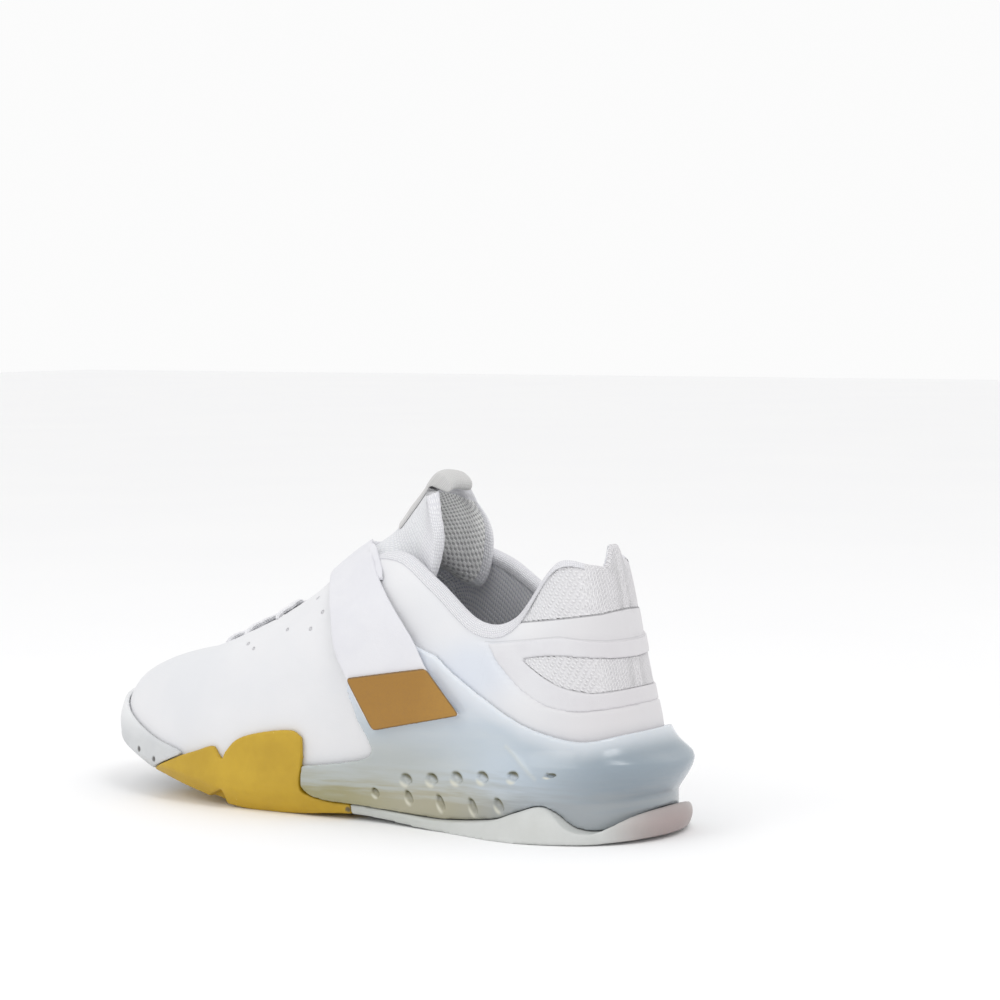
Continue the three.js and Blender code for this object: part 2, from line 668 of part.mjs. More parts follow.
function buildCounter() {
  const layer = upperForm(GAP + COUNTER_THICKNESS, 0.9).subtract(upperForm(GAP, 0.95));
  return layer.intersect(sidePrism(lensShape(COUNTER_RIM))).subtract(sidePrism(lensShape(COUNTER_WINDOW)));
}

// Tongue

// Each section is a parabola from its middle to its side edges.
function tongueRows() {
  const inThroat = TONGUE_STATIONS.map((u) => {
    const half = edgePoint(u).y + TONGUE_MARGIN;
    const middle = throatPoint(u, 0, -2 * GAP);
    const side = throatPoint(u, half / edgePoint(u).y, -2 * GAP).setY(0);
    return { middle, side, half };
  });
  const above = TONGUE_TOP.map((row) => ({
    middle: new THREE.Vector3(row.x * LENGTH, 0, row.z * UPPER_HEIGHT),
    side: new THREE.Vector3(row.sideX * LENGTH, 0, row.sideZ * UPPER_HEIGHT),
    half: row.half * HEEL_WIDTH,
  }));
  return [...inThroat, ...above];
}

const TONGUE_STATIONS = [0.97, 0.91, 0.85, 0.79, 0.73, 0.67];
const TONGUE_ACROSS = 12;

function tonguePoint(row, k) {
  const p = row.middle.clone().lerp(row.side, k * k);
  p.y = row.half * k;
  return p;
}

function buildTongue() {
  const sections = tongueRows();
  const rows = sections.map((row, i) => {
    const before = sections[Math.max(i - 1, 0)];
    const after = sections[Math.min(i + 1, sections.length - 1)];
    const outer = [];
    const inner = [];
    for (let j = 0; j <= TONGUE_ACROSS; j++) {
      const k = (2 * j) / TONGUE_ACROSS - 1;
      const across = tonguePoint(row, k + STEP).sub(tonguePoint(row, k - STEP));
      const onward = tonguePoint(after, k).sub(tonguePoint(before, k));
      const normal = across.cross(onward).normalize();
      outer.push(tonguePoint(row, k));
      inner.push(tonguePoint(row, k).addScaledVector(normal, -TONGUE_THICKNESS));
    }
    return { outer, inner };
  });
  return thickSheet(rows, false).intersect(upperCavity());
}

// The room inside the upper, open upwards through collar and throat
function upperCavity() {
  const inside = upWall.map((v) => roundShoe.map((u) => upperInside(u, v, GAP)));
  const above = inside[UP].map((p) => p.clone().setZ(p.z + UPPER_HEIGHT));
  return loft([...inside, above]);
}

// The tab that pulls the tongue up: a strip on its front that folds back over its top. Its fold runs
// from the underside to the front: back from the tongue's front and up from its top, as multiples of
// the strip's thickness.
const PULL_TAB_FOLD = [
  { back: 2.4, up: 1.8 },
  { back: 4.9, up: 3.0 },
  { back: 5.6, up: 4.6 },
  { back: 4.3, up: 6.1 },
  { back: 0.9, up: 6.0 },
  { back: -1.1, up: 3.9 },
];

function buildPullTab() {
  const middles = tongueRows().map((row) => new THREE.Vector2(row.middle.x, row.middle.z));
  const high = middles[middles.length - 1];
  const low = middles[TONGUE_STATIONS.length];
  const down = low.clone().sub(high).normalize();
  const out = new THREE.Vector2(-down.y, down.x);
  const at = (back, up) => high.clone().addScaledVector(out, -back).addScaledVector(down, -up);
  const front = 2 * GAP + PULL_TAB_THICKNESS;
  const fold = PULL_TAB_FOLD.map((p) => at(p.back * PULL_TAB_THICKNESS, p.up * PULL_TAB_THICKNESS));
  const shape = new THREE.Shape();
  const start = at(-2 * GAP, -PULL_TAB_LENGTH);
  shape.moveTo(start.x, start.y);
  const corner = at(-2 * GAP, 2 * GAP);
  shape.lineTo(corner.x, corner.y);
  const over = at(GAP, 4 * GAP);
  shape.lineTo(over.x, over.y);
  shape.splineThru([...fold, at(-front, 0), at(-front, -PULL_TAB_LENGTH)]);
  return sidePrism(shape, -PULL_TAB_WIDTH / 2, PULL_TAB_WIDTH / 2);
}

// Strap

// It lies on the cage below and on the upper above, and arches over the tongue.
const CAGE_WING_END = 0.68; // v on the wall
const STRAP_DOWN = 0.92;
const STRAP_ARCH = [0.75, 0.5, 0.25, 0.08]; // k over the throat
function strapForm(distance) {
  const onUpper = (v) => THREE.MathUtils.smoothstep(v, CAGE_WING_END, STRAP_DOWN);
  const clear = (v) => THREE.MathUtils.lerp(SHELL_WALL + 2 * GAP, GAP, onUpper(v));
  const levels = upWall.slice(1).map((v) => roundShoe.map((u) => wallOffset(u, v, clear(v) + distance)));
  const over = STRAP_ARCH.map((k) => roundShoe.map((u) => throatPoint(u, k, GAP + distance)));
  return loft([...levels, ...over]);
}

function strapOutline() {
  const rear = STRAP_EDGES.map((r) => new THREE.Vector2(r.rear * LENGTH, r.rearZ * UPPER_HEIGHT));
  const front = STRAP_EDGES.map((r) => new THREE.Vector2(r.front * LENGTH, r.frontZ * UPPER_HEIGHT));
  const shape = new THREE.Shape();
  shape.moveTo(front[0].x, front[0].y);
  shape.splineThru(front.slice(1));
  shape.lineTo(rear[rear.length - 1].x, rear[rear.length - 1].y);
  shape.splineThru(rear.slice(0, -1).reverse());
  return shape;
}

function patchOutline() {
  const low = STRAP_EDGES[0];
  const at = (x, z) => new THREE.Vector2(x * LENGTH, z * UPPER_HEIGHT);
  return new THREE.Shape([
    at(low.front, low.frontZ),
    at(PATCH_TOP.front, PATCH_TOP.frontZ),
    at(PATCH_TOP.rear, PATCH_TOP.rearZ),
    at(low.rear, low.rearZ),
  ]);
}

// A side-view outline that holds on the shoe's outer side. It runs forward as far as the middle
// and then straight across.
function strapPrism(shape) {
  const forward = STRAP_SLANT * STRAP_SIDE;
  const slant = new THREE.Matrix4().set(1, -STRAP_SLANT, 0, forward, 0, 1, 0, 0, 0, 0, 1, 0, 0, 0, 0, 1);
  const slanted = sidePrism(shape, 0, ACROSS).transform(slant.elements);
  return slanted.add(sidePrism(shape, -ACROSS, 0).translate([forward, 0, 0]));
}

function buildStrap() {
  return strapForm(STRAP_THICKNESS).subtract(strapForm(0)).intersect(strapPrism(strapOutline()));
}

function buildPatch() {
  const under = STRAP_THICKNESS + GAP;
  const layer = strapForm(under + PATCH_THICKNESS).subtract(strapForm(under));
  return layer.intersect(strapPrism(patchOutline())).trimByPlane([0, 1, 0], 0);
}

// Laces: flat bars crossing the throat in front of the strap, joined where they cross

const LACE_ROWS = [0.82, 0.88, 0.935];
const FRONT_LACE = 0.945;
const LACE_LIFT = 0.45; // of the crossing that lies on top
const LACE_SHIFT = 0.004; // keeps its ends off the other crossing's
const LACE_HOLE_V = 0.93;
const LACE_SHOULDER = 0.8; // k where a lace turns over the throat's edge
const LACE_STEPS = 6;

function laceBar(fromU, toU, lift) {
  const height = 2 * GAP + lift + LACE_THICKNESS / 2;
  const from = wallOffset(fromU, LACE_HOLE_V, height);
  const to = wallOffset(toU, LACE_HOLE_V, height);
  const middleU = (Math.min(fromU, 2 - fromU) + Math.min(toU, 2 - toU)) / 2;
  const route = new THREE.CatmullRomCurve3([
    from,
    throatPoint(Math.min(fromU, 2 - fromU), fromU < 1 ? LACE_SHOULDER : -LACE_SHOULDER, height + GAP),
    throatPoint(middleU, 0, height + GAP),
    throatPoint(Math.min(toU, 2 - toU), toU < 1 ? LACE_SHOULDER : -LACE_SHOULDER, height + GAP),
    to,
  ]);
  const rows = route.getPoints(LACE_STEPS).map((p, i) => {
    const direction = route.getTangent(i / LACE_STEPS);
    const out = INSTEP_NORMAL.clone();
    out.y += (2 * p.y) / BALL_WIDTH;
    const side = new THREE.Vector3().crossVectors(direction, out).normalize();
    const up = new THREE.Vector3().crossVectors(side, direction).normalize();
    side.multiplyScalar(LACE_WIDTH / 2);
    up.multiplyScalar(LACE_THICKNESS / 2);
    const corner = (a, b) => p.clone().addScaledVector(side, a).addScaledVector(up, b);
    return { outer: [corner(-1, 1), corner(1, 1)], inner: [corner(-1, -1), corner(1, -1)] };
  });
  return thickSheet(rows, false);
}

function buildLaces() {
  let laces = laceBar(FRONT_LACE, 2 - FRONT_LACE, 0);
  for (let i = 0; i < LACE_ROWS.length - 1; i++) {
    laces = laces.add(laceBar(LACE_ROWS[i], 2 - LACE_ROWS[i + 1], 0));
    laces = laces.add(laceBar(LACE_ROWS[i + 1] - LACE_SHIFT, 2 - LACE_ROWS[i] - LACE_SHIFT, LACE_LIFT));
  }
  return laces;
}

// Assembly

function finish(color, roughness) {
  return new THREE.MeshStandardMaterial({ color, roughness, metalness: 0 });
}

const sole = buildSole();
const pieces = [
  ["upper", buildUpper(), finish(0xeeeff2, 0.6)],
  ["insole", buildInsole(), finish(0xb4b6b8, 0.9)],
  ["tongue", buildTongue(), finish(0xe2e3e6, 0.85)],
  ["tongue_pull", buildPullTab(), finish(0xe8e8ea, 0.7)],
  ["midsole_core", sole.core, finish(0xbeb98c, 0.8)],
  ["midsole_cage", sole.cage, finish(0xbfd0dc, 0.25)],
  ["outsole_heel", sole.heel, finish(0xe1e1de, 0.6)],
  ["outsole_forefoot", sole.forefoot, finish(0xc4a53c, 0.65)],
  ["toe_rubber", sole.toe, finish(0xd2d7d8, 0.6)],
  ["heel_counter", buildCounter(), finish(0xf0f1f4, 0.5)],
  ["strap", buildStrap(), finish(0xeceef2, 0.6)],
  ["strap_patch", buildPatch(), finish(0xb08440, 0.4)],
  ["laces", buildLaces(), finish(0xf0f0f2, 0.85)],
];

const shoe = new THREE.Group();
shoe.position.x = -HEEL_SEAT;
for (const [name, solid, material] of pieces) {
  const mesh = new THREE.Mesh(geometryOf(solid), material);
  mesh.name = name;
  shoe.add(mesh);
}

export default shoe;
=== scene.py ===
"""A left weightlifting shoe on a pale floor, seen from behind its outer side.

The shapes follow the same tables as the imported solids, in millimetres, with x from the ridge at
the heel to the toe, y to the outer side and z up from the floor. piece() turns them into metres
in the frame's own axes.
"""
import math

import bmesh
import bpy
import numpy as np
from mathutils import Matrix, Vector
from mathutils.bvhtree import BVHTree


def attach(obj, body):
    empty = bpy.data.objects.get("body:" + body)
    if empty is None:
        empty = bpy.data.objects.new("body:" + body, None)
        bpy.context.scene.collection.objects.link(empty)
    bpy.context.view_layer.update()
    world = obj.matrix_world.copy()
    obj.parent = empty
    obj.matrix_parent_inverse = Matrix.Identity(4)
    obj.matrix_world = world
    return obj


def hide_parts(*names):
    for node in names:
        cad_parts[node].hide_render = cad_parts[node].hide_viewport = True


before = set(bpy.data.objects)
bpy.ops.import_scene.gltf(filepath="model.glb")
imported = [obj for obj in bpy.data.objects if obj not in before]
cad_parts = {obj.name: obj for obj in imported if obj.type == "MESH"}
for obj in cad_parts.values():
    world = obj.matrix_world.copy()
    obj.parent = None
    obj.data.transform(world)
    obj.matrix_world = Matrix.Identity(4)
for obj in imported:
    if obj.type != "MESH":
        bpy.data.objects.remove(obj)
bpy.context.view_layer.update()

# Sizes
LENGTH = 290.0
BALL_WIDTH = 98.0
HEEL_WIDTH = 68.0
HEEL_SEAT = 50.0
HEEL_STACK = 34.0
UPPER_HEIGHT = 81.0
SOLE_FLARE = 10.0
GAP = 0.3
UPPER_WALL = 2.2
COLLAR_PADDING = 3.6
RIM_HEIGHT = 2.2
SHELL_WALL = 2.1
CORE_INSET = 5.0
TREAD_PLATE = 3.0
INSOLE_THICKNESS = 4.0
COUNTER_THICKNESS = 0.35
TONGUE_THICKNESS = 3.6
TONGUE_MARGIN = 6.0
TONGUE_RIM = 1.8
STRAP_THICKNESS = 2.4
PATCH_THICKNESS = 1.0
PATCH_CORNER = 2.4
LACE_WIDTH = 6.2
LACE_THICKNESS = 2.1
LACE_SEAT = 0.1
LACE_LIFT = 0.45
KEEPER_WIDTH = 3.4
KEEPER_THICKNESS = 1.4
HEEL_TAB_HEIGHT = 9.5
HEEL_TAB_LEAN = 0.15
PULL_TAB_WIDTH = 15.0
PULL_TAB_THICKNESS = 1.6
PULL_TAB_LENGTH = 24.0
POCKET_DEEP = 1.6
UNDER_FLOOR = -1.0
BEHIND_HEEL = -20.0
KNIT_FRONT = 62.0
WINDOW_FRONT = 54.0
BAND_FRONT = 70.0
FAR_OFF = 9.0

# Shares of the way round the upper, from the middle of the heel at 0 to the toe at 1
HEEL_TAB_SIDE = (0.014, 0.052)
COLLAR_END = (0.5, 0.66)
BINDING_START = (0.13, 0.2)
BINDING_END = (0.66, 0.63)
LACE_ROWS = (0.82, 0.88, 0.935)
FRONT_LACE = 0.945
LACE_SHIFT = 0.004
TONGUE_STATIONS = (0.97, 0.91, 0.85, 0.79, 0.73, 0.67)

# Shares of the way up the upper's wall
LACE_HOLE_V = 0.93
LACE_END_V = 0.905
RIM_STEP = 0.03

# Counts of vertices, the usual voxel, and the step that a surface's direction is read over
AROUND = 240
FORM_AROUND = 168
OUTER_ROWS = 84
INNER_ROWS = 30
BINDING_COUNT = 90
TONGUE_COLUMNS = 49
TONGUE_STEPS = 7
TONGUE_BOUND = 5
RIBBON_SIDES = 22
VOXEL = 0.7
STEP = 0.004


def table(columns, *rows):
    """Named columns of one table"""
    values = np.array(rows, float)
    return {name: values[:, i] for i, name in enumerate(columns.split())}


# Section tables from the heel's back to the toe in equal steps, the same on both sides
FOOT_EDGE = table(
    "x outer inner",
    (0.033, 0, 0), (0.047, 0.47, 0.47), (0.092, 0.8, 0.8), (0.178, 0.93, 0.92), (0.3, 0.92, 0.85),
    (0.438, 0.89, 0.74), (0.575, 0.93, 0.82), (0.708, 0.97, 0.93), (0.838, 0.85, 0.95),
    (0.937, 0.5, 0.76), (0.983, -0.13, 0.13),
)
OPENING = table(
    "x outer inner z innerZ crown",
    (0.089, 0, 0, 0.905, 0.905, 0), (0.101, 0.37, 0.37, 0.93, 0.93, 0), (0.143, 0.67, 0.67, 0.935, 0.935, 0),
    (0.196, 0.86, 0.86, 0.665, 0.69, 0.05), (0.256, 0.88, 0.86, 0.635, 0.705, 0.09),
    (0.334, 0.73, 0.7, 0.825, 0.895, 0.13), (0.405, 0.58, 0.55, 0.955, 0.955, 0.14),
    (0.505, 0.4, 0.39, 0.86, 0.86, 0.085), (0.612, 0.31, 0.33, 0.64, 0.64, 0.035),
    (0.712, 0.21, 0.27, 0.46, 0.46, 0.025), (0.752, -0.03, 0.03, 0.4, 0.4, 0.02),
)
WALL_BEND = table(
    "bulge rise reach fall",
    (-0.24, 0.32, 0.16, 0.24), (-0.2, 0.31, 0.16, 0.24), (-0.02, 0.29, 0.16, 0.24), (0.09, 0.25, 0.08, 0.2),
    (0.12, 0.26, 0.1, 0.2), (0.1, 0.3, 0.2, 0.24), (0.06, 0.33, 0.34, 0.28), (0.05, 0.31, 0.42, 0.22),
    (0.05, 0.28, 0.56, 0.14), (0.06, 0.26, 0.76, 0.11), (0.06, 0.24, 0.92, 0.11),
)
SOLE_SIDE = table(
    "tread ledge neck ridge shoulder",
    (0.85, 1.0, 0.5, 1.2, 0.49), (0.9, 1.05, 0.5, 1.15, 0.47), (1.2, 1.1, 0.6, 0.9, 0.45),
    (1.6, 1.1, 0.76, 0.72, 0.42), (1.0, 0.75, 0.6, 0.56, 0.38), (0.2, 0.36, 0.42, 0.42, 0.34),
    (0.0, 0.34, 0.38, 0.37, 0.32), (0.0, 0.36, 0.36, 0.35, 0.32), (-0.1, 0.3, 0.33, 0.34, 0.32),
    (-0.15, 0.26, 0.3, 0.32, 0.31), (-0.15, 0.26, 0.3, 0.32, 0.31),
)
SOLE_LEVELS = table(
    "ledge neck ridge shoulder",
    (0.17, 0.46, 0.8, 1.0), (0.2, 0.46, 0.83, 1.07), (0.27, 0.46, 0.82, 1.08), (0.27, 0.45, 0.78, 1.04),
    (0.27, 0.44, 0.68, 0.9), (0.24, 0.36, 0.52, 0.68), (0.22, 0.33, 0.46, 0.58), (0.2, 0.28, 0.38, 0.48),
    (0.12, 0.2, 0.27, 0.36), (0.1, 0.18, 0.26, 0.36), (0.1, 0.18, 0.26, 0.36),
)

# Tables along x
BED_PROFILE = table(
    "x bed tread",
    (0, 1.03, 0.05), (0.07, 1.02, 0.01), (0.15, 1, 0), (0.3, 0.84, 0), (0.45, 0.64, 0.07), (0.57, 0.5, 0),
    (0.65, 0.45, 0.01), (0.72, 0.44, 0.14), (0.84, 0.57, 0.36), (0.93, 0.74, 0.52), (1, 0.9, 0.68),
)
WAVE = table(
    "x z",
    (-0.06, 0.46), (0.01, 0.37), (0.038, 0.23), (0.06, 0.145), (0.088, 0.18), (0.114, 0.34), (0.138, 0.41),
    (0.172, 0.32), (0.214, 0.2), (0.297, 0.13), (0.38, 0.16), (0.455, 0.2),
)
GOLD_TAIL = table("x z", (0.455, 0.2), (0.489, 0.21), (0.52, 0.27), (0.534, 0.38), (0.529, 0.9))
GOLD_TOP = table("x z", (0.536, 1.02), (0.552, 1.06), (0.59, 1.02), (0.629, 0.94), (0.65, 0.85), (0.663, 0.74))
GOLD_FRONT = table("x z", (0.672, 0.59), (0.681, 0.7), (0.692, 0.77), (0.722, 0.69), (0.752, 0.61))
FLEX_NOTCH = table("x z", (0.675, -0.03), (0.672, 0.25), (0.705, 0.13), (0.715, -0.03))
TOE_SEAM = {"top": 0.752, "topZ": 0.61, "low": 0.828, "lowZ": 0.36, "slit": 0.004}
TOE_TOP = table("x z", (0.762, 0.66), (0.814, 0.76), (0.86, 0.88), (0.9, 1), (0.95, 1.15), (1.06, 1.3))
CAGE_TOP = table(
    "x z",
    (-0.06, 1.32), (0.03, 1.27), (0.076, 1.18), (0.115, 1.2), (0.174, 1.34), (0.238, 1.63), (0.304, 2.01),
    (0.376, 2.58),
)
CAGE_FRONT = table(
    "x z", (0.41, 2.5), (0.452, 1.75), (0.441, 1.32), (0.421, 0.98), (0.42, 0.85), (0.435, 0.76), (0.485, 0.68)
)
STRAP_SLANT = 0.7
STRAP_SIDE = 0.42 * BALL_WIDTH
STRAP_EDGES = table(
    "front frontZ rear rearZ",
    (0.414, 0.48, 0.262, 0.59), (0.44, 0.605, 0.297, 0.715), (0.461, 0.74, 0.32, 0.815),
    (0.482, 0.88, 0.343, 0.95), (0.49, 1.05, 0.386, 1.15), (0.494, 1.16, 0.414, 1.33), (0.5, 1.4, 0.43, 1.6),
)
TONGUE_TOP = table(
    "x z sideX sideZ half",
    (0.466, 1.475, 0.38, 1.17, 0.33), (0.436, 1.58, 0.356, 1.39, 0.31), (0.412, 1.665, 0.367, 1.55, 0.275),
    (0.403, 1.7, 0.386, 1.65, 0.2),
)
# Two rows of pockets in the cage's side, in millimetres
POCKETS = table(
    "x z wide high lean",
    (104.1, 18.8, 3.0, 2.9, -0.4), (91.7, 19.8, 3.1, 3.0, -0.4), (79.8, 21.3, 3.1, 3.1, -0.4),
    (67, 22.7, 3.1, 2.9, -0.45), (52, 24.4, 3.1, 2.5, -0.6), (35, 26.6, 3.0, 1.1, -0.25),
    (118.7, 12.3, 1.9, 2.4, -0.5), (102.6, 11.6, 2.0, 3.3, -0.35), (87.3, 10.5, 2.0, 3.9, -0.3),
    (71.4, 10.4, 2.1, 4.0, -0.35), (58.5, 12.4, 2.4, 3.4, -0.4),
)

# A crease in the cage's side, a fold line in the gold rubber's side, and two nicks in the toe rubber
CAGE_CREASE = ((57.0, 36.5), (41.0, 25.0))
GOLD_CREASE = table(
    "x z", (150, 12.4), (155.8, 12.1), (176.3, 11.7), (192.6, 12.9), (210.2, 14.7), (229.8, 14.7), (236, 14.7)
)
TOE_NICKS = ((248.4, 43.4, 19.9, 1.3), (236.2, 47.2, 17.0, 1.2))
GOLD_NICK = (133.0, 42.2, 4.2, 1.3)

# Lines on the heel, x and z in millimetres
KNIT_LINE = table("x z", (10, 92), (21, 91), (25, 89.5), (37, 88), (54, 86), (64, 85))
BAND_LINE = table("x z", (10, 80), (18, 79), (23, 79), (37, 81), (53, 79), (66, 77.5))
WINDOW_TOP = table("x z", (4, 76), (12, 73), (16, 71.5), (25, 72.5), (36, 73.5), (44, 73), (52.8, 71.6))
WINDOW_LOW = table("x z", (4, 65), (10, 62), (16, 59.5), (24, 58.5), (35, 61), (43, 65), (52.8, 71.6))
RING_LOW = table("x z", (4, 60), (9, 56), (15, 52.5), (29, 51), (41, 53), (52, 59), (63, 69), (68.2, 76.5))


# Values between table rows

def cubic(p0, p1, p2, p3, t):
    slope_in, slope_out = (p2 - p0) / 2, (p3 - p1) / 2
    t2, t3 = t * t, t * t * t
    return p1 * (2 * t3 - 3 * t2 + 1) + slope_in * (t3 - 2 * t2 + t) + p2 * (3 * t2 - 2 * t3) + slope_out * (t3 - t2)


def around(rows, u, outer, inner=None, sign=1.0):
    """Reads a table round the shoe: u is 0 at the heel, 1 at the toe and 2 at the heel again"""
    inner = inner or outer
    last = len(rows[outer]) - 1
    loop = np.concatenate([rows[outer], sign * rows[inner][last - 1:0:-1]])
    position = np.mod(np.asarray(u, float), 2.0) * last
    index = np.floor(position).astype(int)
    value = lambda k: loop[np.mod(k, 2 * last)]
    return cubic(value(index - 1), value(index), value(index + 1), value(index + 2), position - index)


def along(rows, x, name):
    """Reads a table along x"""
    xs, values = rows["x"], rows[name]
    i = np.clip(np.searchsorted(xs, x, side="left") - 1, 0, len(xs) - 2)
    at = lambda k: values[np.clip(k, 0, len(xs) - 1)]
    return cubic(at(i - 1), at(i), at(i + 1), at(i + 2), (x - xs[i]) / (xs[i + 1] - xs[i]))


def spline(points, per=8):
    """A smooth line through points"""
    p = np.asarray(points, float)
    out = []
    for i in range(len(p) - 1):
        p0, p3 = p[max(i - 1, 0)], p[min(i + 2, len(p) - 1)]
        out += [cubic(p0, p[i], p[i + 1], p3, t) for t in np.arange(per) / per]
    return out + [p[-1]]


def smoothstep(x, low, high):
    t = np.clip((np.asarray(x, float) - low) / (high - low), 0, 1)
    return t * t * (3 - 2 * t)


def bed_z(x):
    return HEEL_STACK * along(BED_PROFILE, x / LENGTH, "bed")


def tread_z(x):
    return HEEL_STACK * np.maximum(0, along(BED_PROFILE, x / LENGTH, "tread"))


def half_width(x):
    return (HEEL_WIDTH + (BALL_WIDTH - HEEL_WIDTH) * smoothstep(x / LENGTH, 0.2, 0.6)) / 2


def unit(v):
    return v / np.maximum(np.linalg.norm(v, axis=-1, keepdims=True), 1e-9)


def run_length(points, axis=0):
    """How far along its line each point lies"""
    start = np.take(points, [0], axis)
    return np.linalg.norm(np.diff(points, axis=axis, prepend=start), axis=-1).cumsum(axis)


# The upper's outer surface: u goes round the shoe and v from the foot's edge to the opening

def foot_point(u):
    x = around(FOOT_EDGE, u, "x") * LENGTH
    return np.stack([x, around(FOOT_EDGE, u, "outer", "inner", -1) * half_width(x), bed_z(x) + GAP], -1)


def from_heel(u):
    u = np.mod(u, 2.0)
    return np.minimum(u, 2 - u)


def heel_tab(u):
    return 1 - smoothstep(from_heel(u), *HEEL_TAB_SIDE)


def edge_point(u):
    x = around(OPENING, u, "x") * LENGTH
    y = around(OPENING, u, "outer", "inner", -1) * half_width(x)
    tab = HEEL_TAB_HEIGHT * heel_tab(u)
    z = HEEL_STACK + UPPER_HEIGHT * around(OPENING, u, "z", "innerZ") + tab
    return np.stack([x + HEEL_TAB_LEAN * tab, y, z], -1)


def plan_normal(loop, u):
    d = loop(u + STEP) - loop(u - STEP)
    return unit(np.stack([-d[..., 1], d[..., 0], 0 * d[..., 0]], -1))


def wall(u, v):
    u, v = np.broadcast_arrays(np.asarray(u, float), np.asarray(v, float))
    foot, edge = foot_point(u), edge_point(u)
    half = half_width(foot[..., 0])[..., None]
    low = foot + plan_normal(foot_point, u) * around(WALL_BEND, u, "bulge")[..., None] * half
    low[..., 2] += around(WALL_BEND, u, "rise") * UPPER_HEIGHT
    high = edge + plan_normal(edge_point, u) * around(WALL_BEND, u, "reach")[..., None] * half
    high[..., 2] -= around(WALL_BEND, u, "fall") * UPPER_HEIGHT
    t = v[..., None]
    return foot * (1 - t) ** 3 + low * 3 * t * (1 - t) ** 2 + high * 3 * t * t * (1 - t) + edge * t ** 3


def wall_normal(u, v):
    du = wall(u + STEP, v) - wall(u - STEP, v)
    dv = wall(u, np.minimum(v + STEP, 1)) - wall(u, np.maximum(v - STEP, 0))
    return unit(np.cross(dv, du))


def wall_offset(u, v, distance):
    return wall(u, v) + wall_normal(u, v) * np.asarray(distance, float)[..., None]


INSTEP_NORMAL = unit(np.array([0.5, 0, 0.87]))


def throat_point(u, k, distance):
    """A point over the throat: k is 1 at the outer rim, 0 in the middle and -1 at the inner rim"""
    p = edge_point(u)
    p[..., 1] *= k
    crown = around(OPENING, u, "crown") * UPPER_HEIGHT * (1 - k * k)
    return p + INSTEP_NORMAL * (crown + distance)[..., None]


# Meshes

def add_object(name, data):
    o = bpy.data.objects.new(name, data)
    bpy.context.collection.objects.link(o)
    return o


def new_mesh(name, points, faces):
    mesh = bpy.data.meshes.new(name)
    mesh.from_pydata(np.asarray(points, float).reshape(-1, 3).tolist(), [], faces)
    mesh.update()
    return mesh


def grid_faces(columns, rows, closed=False, ring=False, flip=False):
    """Quads over a grid of vertices. Its columns close on themselves, or each column does as a ring."""
    faces = []
    for i in range(columns if closed else columns - 1):
        a, b = i * rows, (i + 1) % columns * rows
        for j in range(rows if ring else rows - 1):
            k = (j + 1) % rows
            quad = (a + j, a + k, b + k, b + j)
            faces.append(quad[::-1] if flip else quad)
    return faces


def loft(loops):
    """A closed mesh through loops round the shoe, lowest first, with caps that run across the shoe"""
    count = len(loops[0])
    faces = []
    for k in range(len(loops) - 1):
        for i in range(count):
            a, b = k * count + i, k * count + (i + 1) % count
            faces.append((a, a + count, b + count, b))
    top = (len(loops) - 1) * count
    for i in range(count // 2):
        for base, order in ((top, 1), (0, -1)):
            cap = [base + i, base + (count - i) % count, base + count - i - 1, base + i + 1][::order]
            cap = tuple(dict.fromkeys(cap))
            if len(cap) > 2:
                faces.append(cap)
    return new_mesh("form", np.concatenate(loops), faces)


def side_points(rows, lift=0.0, scale=(LENGTH, HEEL_STACK), columns=("x", "z")):
    """A table's line in side view"""
    x, z = (rows[name] for name in columns)
    return list(np.stack([x * scale[0], z * scale[1] + lift], -1))


def prism(outline, low=-BALL_WIDTH, high=BALL_WIDTH, shear=0.0, shift=0.0):
    """A side-view outline run across the shoe. shear moves it forward towards the middle."""
    ring = [np.asarray(outline[0], float)]
    for p in outline[1:]:
        if np.linalg.norm(p - ring[-1]) > 1e-3:
            ring.append(np.asarray(p, float))
    area = sum(a[0] * b[1] - b[0] * a[1] for a, b in zip(ring, ring[1:] + ring[:1]))
    if area < 0:
        ring.reverse()
    count = len(ring)
    points = [(p[0] + shift - shear * y, y, p[1]) for y in (low, high) for p in ring]
    faces = [tuple(range(count)), tuple(reversed(range(count, 2 * count)))]
    faces += [(i, i + count, (i + 1) % count + count, (i + 1) % count) for i in range(count)]
    return new_mesh("prism", points, faces)


def evaluated(o):
    """The object's mesh after its modifiers"""
    bpy.context.view_layer.update()
    return bpy.data.meshes.new_from_object(o.evaluated_get(bpy.context.evaluated_depsgraph_get()))


def combine(a, b, operation):
    """The solid of two closed meshes: UNION, DIFFERENCE or INTERSECT"""
    first, second = add_object("first", a), add_object("second", b)
    cut = first.modifiers.new("cut", "BOOLEAN")
    cut.operation = operation
    cut.solver = "MANIFOLD"
    cut.object = second
    result = evaluated(first)
    for o in (first, second):
        bpy.data.objects.remove(o)
    return result


def moulded(mesh, voxel=VOXEL, smooth=4):
    """The mesh with its edges softened, as a moulded or sewn piece has them"""
    o = add_object("moulded", mesh)
    remesh = o.modifiers.new("remesh", "REMESH")
    remesh.mode = "VOXEL"
    remesh.voxel_size = voxel
    soften = o.modifiers.new("soften", "SMOOTH")
    soften.iterations = smooth
    soften.factor = 0.5
    result = evaluated(o)
    bpy.data.objects.remove(o)
    return result


def piece(name, mesh, materials, *nodes, slot=None):
    """A finished piece in the frame that stands for CAD nodes"""
    mesh.name = name
    mesh.transform(Matrix.Scale(0.001, 4) @ Matrix.Translation((-HEEL_SEAT, 0, 0)))
    mesh.polygons.foreach_set("use_smooth", [True] * len(mesh.polygons))
    o = add_object(name, mesh)
    mesh.materials.clear()
    for m in materials:
        mesh.materials.append(m)
    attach(o, "root")
    if nodes:
        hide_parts(*nodes)
    return o


